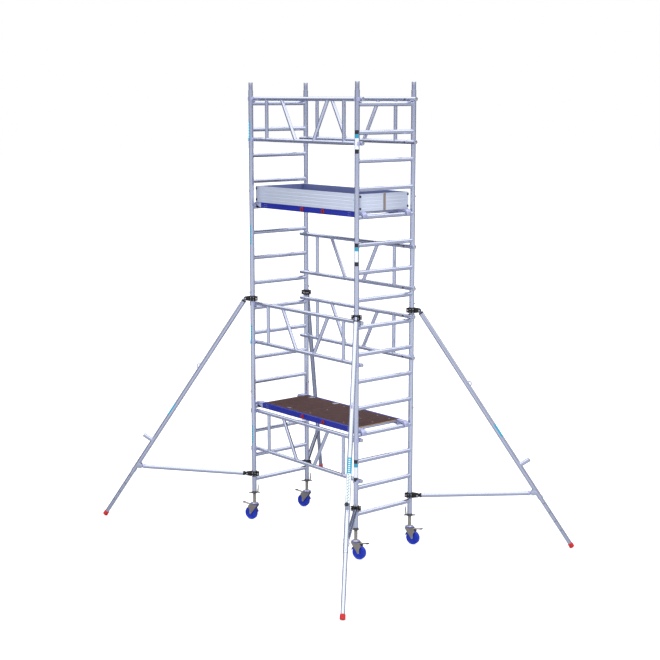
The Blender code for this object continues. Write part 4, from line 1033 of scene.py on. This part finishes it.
def clamp_parts(z):
    """Clamp cast in two halves round the upright, with ears, pivot bolt, flanges and a swing bolt."""
    parts = Parts()
    bore, half = UPRIGHT + 0.0008, CLAMP_HEIGHT / 2
    outer, waist, lip = bore + CLAMP_WALL, bore + 0.0075, bore + 0.008
    profile = [(bore, z - half), (lip, z - half), (outer, z - half + 0.003), (outer, z - half + 0.010)]
    profile += [(waist, z - half + 0.014), (waist, z + half - 0.014), (outer, z + half - 0.010)]
    profile += [(outer, z + half - 0.003), (lip, z + half), (bore, z + half)]
    parts.put("black_cast", turned(profile, ring=True))
    low, high, root = z - half + 0.004, z + half - 0.004, bore + 0.004
    tip = arc((CLAMP_PIVOT, 0), 0.0205, -80, 80, 18)
    ear = np.concatenate([[(root, -half + 0.002)], tip, [(root, half - 0.002)]])
    for side in (-1, 1):
        y0, y1 = sorted((-side * EAR_GAP / 2, -side * (EAR_GAP / 2 + EAR_WALL)))
        parts.put("black_cast", slab(ear, y0, y1, 0.0018), at(0, 0, z) @ UPENDED)
        spot = stood((CLAMP_PIVOT, side * (EAR_GAP / 2 + EAR_WALL), z), (0, side, 0))
        parts.put("bright_steel", hex_head(0.0095, 0.006), spot)
        y0, y1 = side * 0.003 - 0.0028, side * 0.003 + 0.0028
        flange = block((-bore - 0.030, y0, low), (-bore + 0.002, y1, high), 0.003, 0.0015)
        parts.put("black_cast", flange, at(0, side * 0.0035, 0))
        y0, y1 = sorted((side * root, side * FLANGE_REACH))
        parts.put("black_cast", block((-0.012, y0, low), (0.012, y1, high), 0.005, 0.002))
        for rise in FLANGE_BOLTS:
            y, height = side * FLANGE_BOLT_Y, z + rise
            parts.put("bright_steel", rod((-0.019, y, height), (0.019, y, height), 0.004, 14))
            parts.put("bright_steel", hex_head(0.0075, 0.005), stood((0.012, y, height), (1, 0, 0)))
    pin = rod((CLAMP_PIVOT, -EAR_GAP / 2, z), (CLAMP_PIVOT, EAR_GAP / 2, z), 0.006, 20)
    parts.put("bright_steel", pin)
    strap = block((-bore - 0.022, -0.0165, z - 0.010), (-bore - 0.006, 0.0165, z + 0.010), 0.003, 0.0012)
    parts.put("steel", strap)
    x = -bore - SWING_BOLT
    parts.put("bright_steel", rod((x, -0.030, z), (x, 0.030, z), 0.0045, 16))
    parts.put("bright_steel", hex_head(0.0095, 0.008), stood((x, 0.017, z), (0, 1, 0)))
    return parts


def lug_skin(pivot, way, thickness=0.012):
    """A flat eye round a pivot, on a stem into a tube's end."""
    stem = LEG_START + 0.004
    outline = np.concatenate([arc((0, 0), EYE, 60, 300, 24), [(stem, -0.0165), (stem, 0.0165)]])
    return moved(slab(outline, -thickness, thickness, 0.002), Matrix.Translation(pivot) @ facing(way, ACROSS))


def seated(skin, foot):
    """The skin of a stub with its near end pulled out to a saddle in the leg's wall.

    The saddle lies where depth^2 + across^2 is the square of the radius, 1 mm inside the leg's surface."""
    points, quads, uv, caps = skin
    depth = -(points - np.array(foot)) @ np.array(UNDER)
    saddle = np.sqrt(np.maximum((LEG - 0.001) ** 2 - points[:, 1] ** 2, 0))
    shift = np.where(depth < LEG * 0.9, depth - saddle, 0)
    return points + np.outer(shift, np.array(UNDER)), quads, uv, caps


def leg_parts():
    """Outer tube: collar and lug on top, half-round hook, stub handle, arm bracket, end sleeve and pin."""
    parts = Parts()
    top, end = along_leg(LEG_START), along_leg(LEG_LENGTH)
    parts.put("leg_aluminium", grooved_tube(top, end, LEG, 0.0022, *LEG_GROOVES))
    collar = [(0.0195, -0.004), (LEG + 0.0012, -0.002), (LEG + 0.0012, 0.010), (LEG - 0.002, 0.012)]
    parts.put("black_plastic", turned(collar), stood(top, WAY))
    parts.put("cast_aluminium", lug_skin(LEG_PIVOT, WAY))
    hook = np.concatenate([arc((0, 0), 0.030, 0, 180, 24), arc((0, 0), 0.019, 180, 0, 20)])
    spot = Matrix.Translation(along_leg(HOOK_PLACE, -LEG + 0.003))
    spot = spot @ Matrix((WAY, -UNDER, WAY.cross(-UNDER))).transposed().to_4x4()
    parts.put("cast_aluminium", slab(hook, -0.008, 0.008, 0.002), spot)
    root, reach = along_leg(HANDLE_PLACE), -LEG - HANDLE_LENGTH
    stub = tube(along_leg(HANDLE_PLACE, -LEG * 0.6), along_leg(HANDLE_PLACE, reach), HANDLE, 0.0025)
    parts.put("leg_aluminium", seated(stub, root))
    mouth = HANDLE - 0.003
    plug = [(mouth, -0.010), (mouth, -0.0005), (HANDLE, 0), (HANDLE, 0.002), (mouth, 0.0035)]
    parts.put("black_plastic", turned(plug), stood(along_leg(HANDLE_PLACE, reach + 0.003), -UNDER))
    half, foot = BRACKET_LENGTH / 2 - 0.008, BRACKET_DROP + 0.016
    outline = [(-half, -0.004), (half, -0.004), (half, 0.020), (0.016, foot), (-0.016, foot), (-half, 0.020)]
    outline = rounded(outline, (0.004, 0.004, 0.008, 0.012, 0.012, 0.008))
    spot = Matrix.Translation(along_leg(BRACKET_PLACE)) @ facing(WAY, ACROSS)
    bolts = [(BRACKET_PLACE, BRACKET_DROP)]
    bolts += [(BRACKET_PLACE + side * BRACKET_BOLT, 0.006) for side in (-1, 1)]
    for side in (-1, 1):
        y0, y1 = sorted((side * (LEG - 0.0015), side * (LEG + 0.0025)))
        parts.put("leg_aluminium", slab(outline, y0, y1, 0.001), spot)
        for distance, under in bolts:
            head = stood(along_leg(distance, under) + ACROSS * side * (LEG + 0.0025), (0, side, 0))
            parts.put("bright_steel", hex_head(0.0085, 0.005), head)
    pivot = along_leg(BRACKET_PLACE, BRACKET_DROP)
    parts.put("bright_steel", rod(pivot - ACROSS * LEG, pivot + ACROSS * LEG, 0.006, 20))
    sleeve = tube(along_leg(LEG_LENGTH - 0.030), along_leg(LEG_LENGTH + 0.003), LEG + 0.0012, 0.0012)
    parts.put("leg_aluminium", sleeve)
    place = LEG_LENGTH - PIN_BACK
    pin = rod(along_leg(place, -LEG - 0.010), along_leg(place, LEG + 0.006), 0.0045, 16)
    parts.put("bright_steel", pin)
    return parts


def wrapped(skin, radius):
    """The skin bent round a tube along Y: x becomes the angle x / radius, and z the height above it."""
    points, quads, uv, caps = skin
    angle, reach = points[:, 0] / radius, radius + points[:, 2]
    bent = np.stack([reach * np.sin(angle), points[:, 1], reach * np.cos(angle)], -1)
    return bent, quads, uv, caps


def foot_skin():
    """The ribbed foot, pressed flat where it meets the ground.

    At a share s of its length its radius is r - 3 mm e^(-8 s) + 1.2 mm (cos(10 pi s) - 1) / 2."""
    length = FOOT_LENGTH - FOOT * 0.45
    share = np.linspace(0, 1, 41)
    wave = 0.0012 * (np.cos(2 * np.pi * FOOT_RIBS * share) - 1) / 2
    swell = FOOT - 0.003 * np.exp(-share * 8)
    profile = [(INNER_LEG - 0.001, 0)] + list(zip(swell + wave, 0.001 + share * (length - 0.012)))
    for t in np.linspace(0.2, math.pi / 2, 8):
        profile.append((FOOT - 0.008 * (1 - math.cos(t)), length - 0.008 * (1 - math.sin(t))))
    points, quads, uv, caps = moved(turned(profile), stood(along_leg(LEG_TOTAL - FOOT_LENGTH), WAY))
    points[:, 2] = np.maximum(points[:, 2], 0)
    return points, quads, uv, caps


def inner_leg_parts():
    """Inner tube with eyeletted pin holes, and its rubber foot."""
    parts = Parts()
    start, end = along_leg(LEG_LENGTH - LAP), along_leg(LEG_TOTAL - FOOT_LENGTH * 0.5)
    parts.put("leg_aluminium", tube(start, end, INNER_LEG, 0.0022))
    rim = [(0.0058, -0.0012), (0.0088, -0.0012), (0.0088, 0.0002), (0.0076, 0.0004), (0.006, 0.0003)]
    rim = wrapped(turned(rim, 24, ring=True), INNER_LEG)
    plug = wrapped(turned([(0.0059, -0.0010), (0.0059, 0.0001)], 24), INNER_LEG)
    first, pitch, count = HOLES
    for number in range(count):
        centre = Matrix.Translation(along_leg(LEG_LENGTH + first + number * pitch))
        for side in (-1, 1):
            spot = centre @ facing(WAY.cross(ACROSS * side), ACROSS * side)
            parts.put("steel", rim, spot)
            parts.put("black_plastic", plug, spot)
    parts.put("red_rubber", foot_skin())
    return parts


def arm_parts():
    """Lower clamp, arm tube with collars and the eye in the leg's bracket."""
    pivot, outer = Vector((CLAMP_PIVOT, 0, LOWER_CLAMP_Z)), along_leg(BRACKET_PLACE, BRACKET_DROP)
    way = (outer - pivot).normalized()
    start, end = pivot + way * LEG_START, outer - way * LEG_START
    parts = clamp_parts(LOWER_CLAMP_Z)
    parts.put("leg_aluminium", grooved_tube(start, end, ARM, 0.002, *LEG_GROOVES))
    parts.put("black_cast", lug_skin(pivot, way))
    parts.put("cast_aluminium", lug_skin(outer, -way))
    collar = [(ARM - 0.004, -0.003), (ARM + 0.0014, -0.0015), (ARM + 0.0014, 0.016), (ARM - 0.002, 0.018)]
    parts.put("black_plastic", turned(collar), stood(start, way))
    parts.put("cast_aluminium", turned(collar), stood(end, -way))
    return parts


# --- Labels ----------------------------------------------------------------------------------------
CYAN_TOPS = (4.149, 3.017, 1.907, 0.766)  # above the first frame's foot, front left upright
STACK_TOPS = (4.086, 2.963, 0.727)  # front right upright
CYAN_HEADING = 255
STACK_HEADING = 311
CYAN_HEIGHT = 0.205
STACK = (
    ("black_film", 0.040, 0.0),
    ("cyan_film", 0.078, 0.042),
    ("white_film", 0.188, 0.080),
    ("black_film", 0.231, 0.190),
)
MARK_HALF = 0.0045


def stabiliser_labels(corner):
    """Cyan label on the leg's outer side; the front right leg has a longer one and a white one."""
    parts = Parts()
    outward = stood(LEG_PIVOT, WAY, -UNDER)
    front = corner == "front_right"
    low, high = FRONT_LABEL if front else LEG_LABEL
    parts.put("cyan_film", sticker(LEG + 0.0001, 0, 150, low, high), outward)
    for z in np.linspace(low + 0.02, high - 0.02, 7):
        mark = sticker(LEG + 0.0005, 0, 40, z - MARK_HALF, z + MARK_HALF, 0.0003)
        parts.put("white_film", mark, outward)
    if front:
        low, high = MARK_LABEL
        parts.put("white_film", sticker(LEG + 0.0001, 0, 110, low, high), outward)
        for number, z in enumerate(np.linspace(low + 0.012, high - 0.012, 19)):
            heading = 9 - 18 * (number % 2)
            mark = sticker(LEG + 0.0005, heading, 30, z - MARK_HALF, z + MARK_HALF, 0.0003)
            parts.put("teal_film", mark, outward)
    return parts


def make_stabilisers():
    for corner, (side_x, side_y) in CORNERS.items():
        body = "stabiliser_" + corner
        place = beside(corner) @ about("Z", math.atan2(side_y, side_x))
        clamp, leg = "stabiliser_clamp_" + corner, "stabiliser_leg_" + corner
        inner, arm = "stabiliser_inner_leg_" + corner, "stabiliser_arm_" + corner
        piece(clamp + "_casting", placed(clamp_parts(UPPER_CLAMP_Z), place), body, [clamp])
        piece(leg + "_tube", placed(leg_parts(), place), body, [leg])
        piece(inner + "_tube", placed(inner_leg_parts(), place), "foot_" + corner, [inner])
        piece(arm + "_tube", placed(arm_parts(), place), body, [arm])
        piece("stabiliser_labels_" + corner, placed(stabiliser_labels(corner), place), body)


def make_labels():
    """The uprights' labels: cyan ones with marks and a column of marks below, and stacks of four films."""
    parts = Parts()
    place = beside("front_left")
    for top in (FRAME_BASE + rise for rise in CYAN_TOPS):
        parts.put("cyan_film", sticker(UPRIGHT, CYAN_HEADING, 96, top - CYAN_HEIGHT, top), place)
        for z in np.arange(top - 0.185, top - 0.02, 0.030):
            parts.put("white_film", sticker(UPRIGHT + 0.0004, CYAN_HEADING, 34, z, z + 0.016, 0.0003), place)
        for z in np.arange(top - 0.47, top - 0.24, 0.026):
            parts.put("cyan_film", sticker(UPRIGHT, CYAN_HEADING, 22, z, z + 0.013), place)
    place = beside("front_right")
    for top in (FRAME_BASE + rise for rise in STACK_TOPS):
        for film, low, high in STACK:
            parts.put(film, sticker(UPRIGHT, STACK_HEADING, 96, top - low, top - high), place)
    piece("upright_labels", parts, "tower")


# --- Studio ----------------------------------------------------------------------------------------
CAMERA_PLACE = Vector((11.258, -9.421, 4.765))
CAMERA_YAW = -0.8739
CAMERA_DIP = math.radians(9.68)
CAMERA_LENS = 75.11
TOWARDS_CAMERA = (0.767, -0.642, 0.0)
DOME_BEHIND = (0.02, 0.03, 0.08, 1)
DOME_AHEAD = (0.40, 0.42, 0.52, 1)
DOME_TOP = (1.50, 1.51, 1.55, 1)
DOME_STOPS = ((0.30, 0.0), (0.62, 0.0), (0.70, 0.45), (0.78, 1.0))  # height, share of the top's colour
FLOOR_BEHIND = (0.08, 0.09, 0.15, 1)
FLOOR_AHEAD = (0.76, 0.79, 0.88, 1)
FLOOR_HALF = 90.0
FLOOR_GLOW = 0.62
LAMP_TARGET = Vector((0, 0, 2.4))
LAMPS = (
    ("key", (4.5, -9.0, 9.5), 5.0, 420),
    ("fill", (10.0, 3.0, 6.0), 5.0, 160),
    ("back", (-8.0, 6.0, 9.0), 6.0, 220),
)


def towards_camera(tree, way, low, high, behind, ahead):
    """A colour that goes from behind to ahead as a place or a direction turns towards the camera's side."""
    along = add(tree, "VectorMath", {0: way, 1: TOWARDS_CAMERA}, operation="DOT_PRODUCT")
    share = add(tree, "MapRange", {"Value": along.outputs["Value"], "From Min": low, "From Max": high})
    return mixed(tree, share.outputs[0], behind, ahead)


def make_floor():
    """A wide pale floor that fades to the backdrop's white."""
    corners = [(x * FLOOR_HALF, y * FLOOR_HALF, -0.0004) for x, y in ((-1, -1), (1, -1), (1, 1), (-1, 1))]
    mesh = bpy.data.meshes.new("floor")
    mesh.from_pydata(corners, [], [(0, 1, 2, 3)])
    floor = bpy.data.objects.new("floor", mesh)
    bpy.context.scene.collection.objects.link(floor)
    paint = bpy.data.materials.new("floor")
    paint.use_nodes = True
    tree = paint.node_tree
    shader = tree.nodes["Principled BSDF"]
    shader.inputs["Base Color"].default_value = (0.6, 0.6, 0.62, 1)
    shader.inputs["Roughness"].default_value = 0.9
    shader.inputs["Specular IOR Level"].default_value = 0.0
    shader.inputs["Emission Color"].default_value = (1, 1, 1, 1)
    light = add(tree, "LightPath")
    glow = add(tree, "Math", {0: light.outputs["Is Camera Ray"], 1: FLOOR_GLOW}, operation="MULTIPLY")
    tree.links.new(glow.outputs[0], shader.inputs["Emission Strength"])
    spot = add(tree, "TexCoord").outputs["Object"]
    tone = towards_camera(tree, spot, -4.0, 4.0, FLOOR_BEHIND, FLOOR_AHEAD)
    mirrored = add(tree, "Emission", {"Color": tone, "Strength": 1.0})
    wires = {0: light.outputs["Is Glossy Ray"], 1: shader.outputs[0], 2: mirrored.outputs[0]}
    mix = add(tree, "MixShader", wires)
    tree.links.new(mix.outputs[0], tree.nodes["Material Output"].inputs["Surface"])
    mesh.materials.append(paint)


def make_world():
    """White for the eye; for light and reflections a dome, bright above and darker at the horizon."""
    world = bpy.data.worlds.new("studio")
    bpy.context.scene.world = world
    world.use_nodes = True
    tree = world.node_tree
    way = add(tree, "TexCoord").outputs["Generated"]
    climb = add(tree, "SeparateXYZ", {0: way}).outputs["Z"]
    height = add(tree, "MapRange", {"Value": climb, "From Min": -1.0, "From Max": 1.0})
    ramp = add(tree, "ValToRGB", {0: height.outputs[0]})
    for place, level in DOME_STOPS:
        ramp.color_ramp.elements.new(place).color = (level, level, level, 1)
    ramp.color_ramp.elements[0].color = (0, 0, 0, 1)
    ramp.color_ramp.elements[-1].color = (1, 1, 1, 1)
    low = towards_camera(tree, way, -0.7, 0.8, DOME_BEHIND, DOME_AHEAD)
    dome_light = tree.nodes["Background"]
    tree.links.new(mixed(tree, ramp.outputs[0], low, DOME_TOP), dome_light.inputs["Color"])
    dome_light.inputs["Strength"].default_value = 1.0
    seen = add(tree, "Background", {"Color": (1, 1, 1, 1), "Strength": 1.0})
    eye = add(tree, "LightPath").outputs["Is Camera Ray"]
    mix = add(tree, "MixShader", {0: eye, 1: dome_light.outputs[0], 2: seen.outputs[0]})
    tree.links.new(mix.outputs[0], tree.nodes["World Output"].inputs["Surface"])


def make_lights():
    for name, place, size, power in LAMPS:
        lamp = bpy.data.lights.new(name, "AREA")
        lamp.size = size
        lamp.energy = power
        item = bpy.data.objects.new(name, lamp)
        turn = (Vector(place) - LAMP_TARGET).to_track_quat("Z", "Y").to_matrix().to_4x4()
        item.matrix_world = Matrix.Translation(place) @ turn
        item.visible_glossy = False
        bpy.context.scene.collection.objects.link(item)


def make_camera():
    data = bpy.data.cameras.new("camera")
    data.lens = CAMERA_LENS
    data.sensor_width = 36
    data.clip_end = 400
    item = bpy.data.objects.new("camera", data)
    level = math.cos(CAMERA_DIP)
    look = Vector((math.sin(CAMERA_YAW) * level, math.cos(CAMERA_YAW) * level, -math.sin(CAMERA_DIP)))
    item.matrix_world = Matrix.Translation(CAMERA_PLACE) @ look.to_track_quat("-Z", "Y").to_matrix().to_4x4()
    bpy.context.scene.collection.objects.link(item)
    bpy.context.scene.camera = item
    bpy.context.scene.view_settings.view_transform = "Standard"


make_end_frames()
make_guardrails()
make_platforms()
make_toe_boards()
make_legs()
make_stabilisers()
make_labels()
make_floor()
make_world()
make_lights()
make_camera()
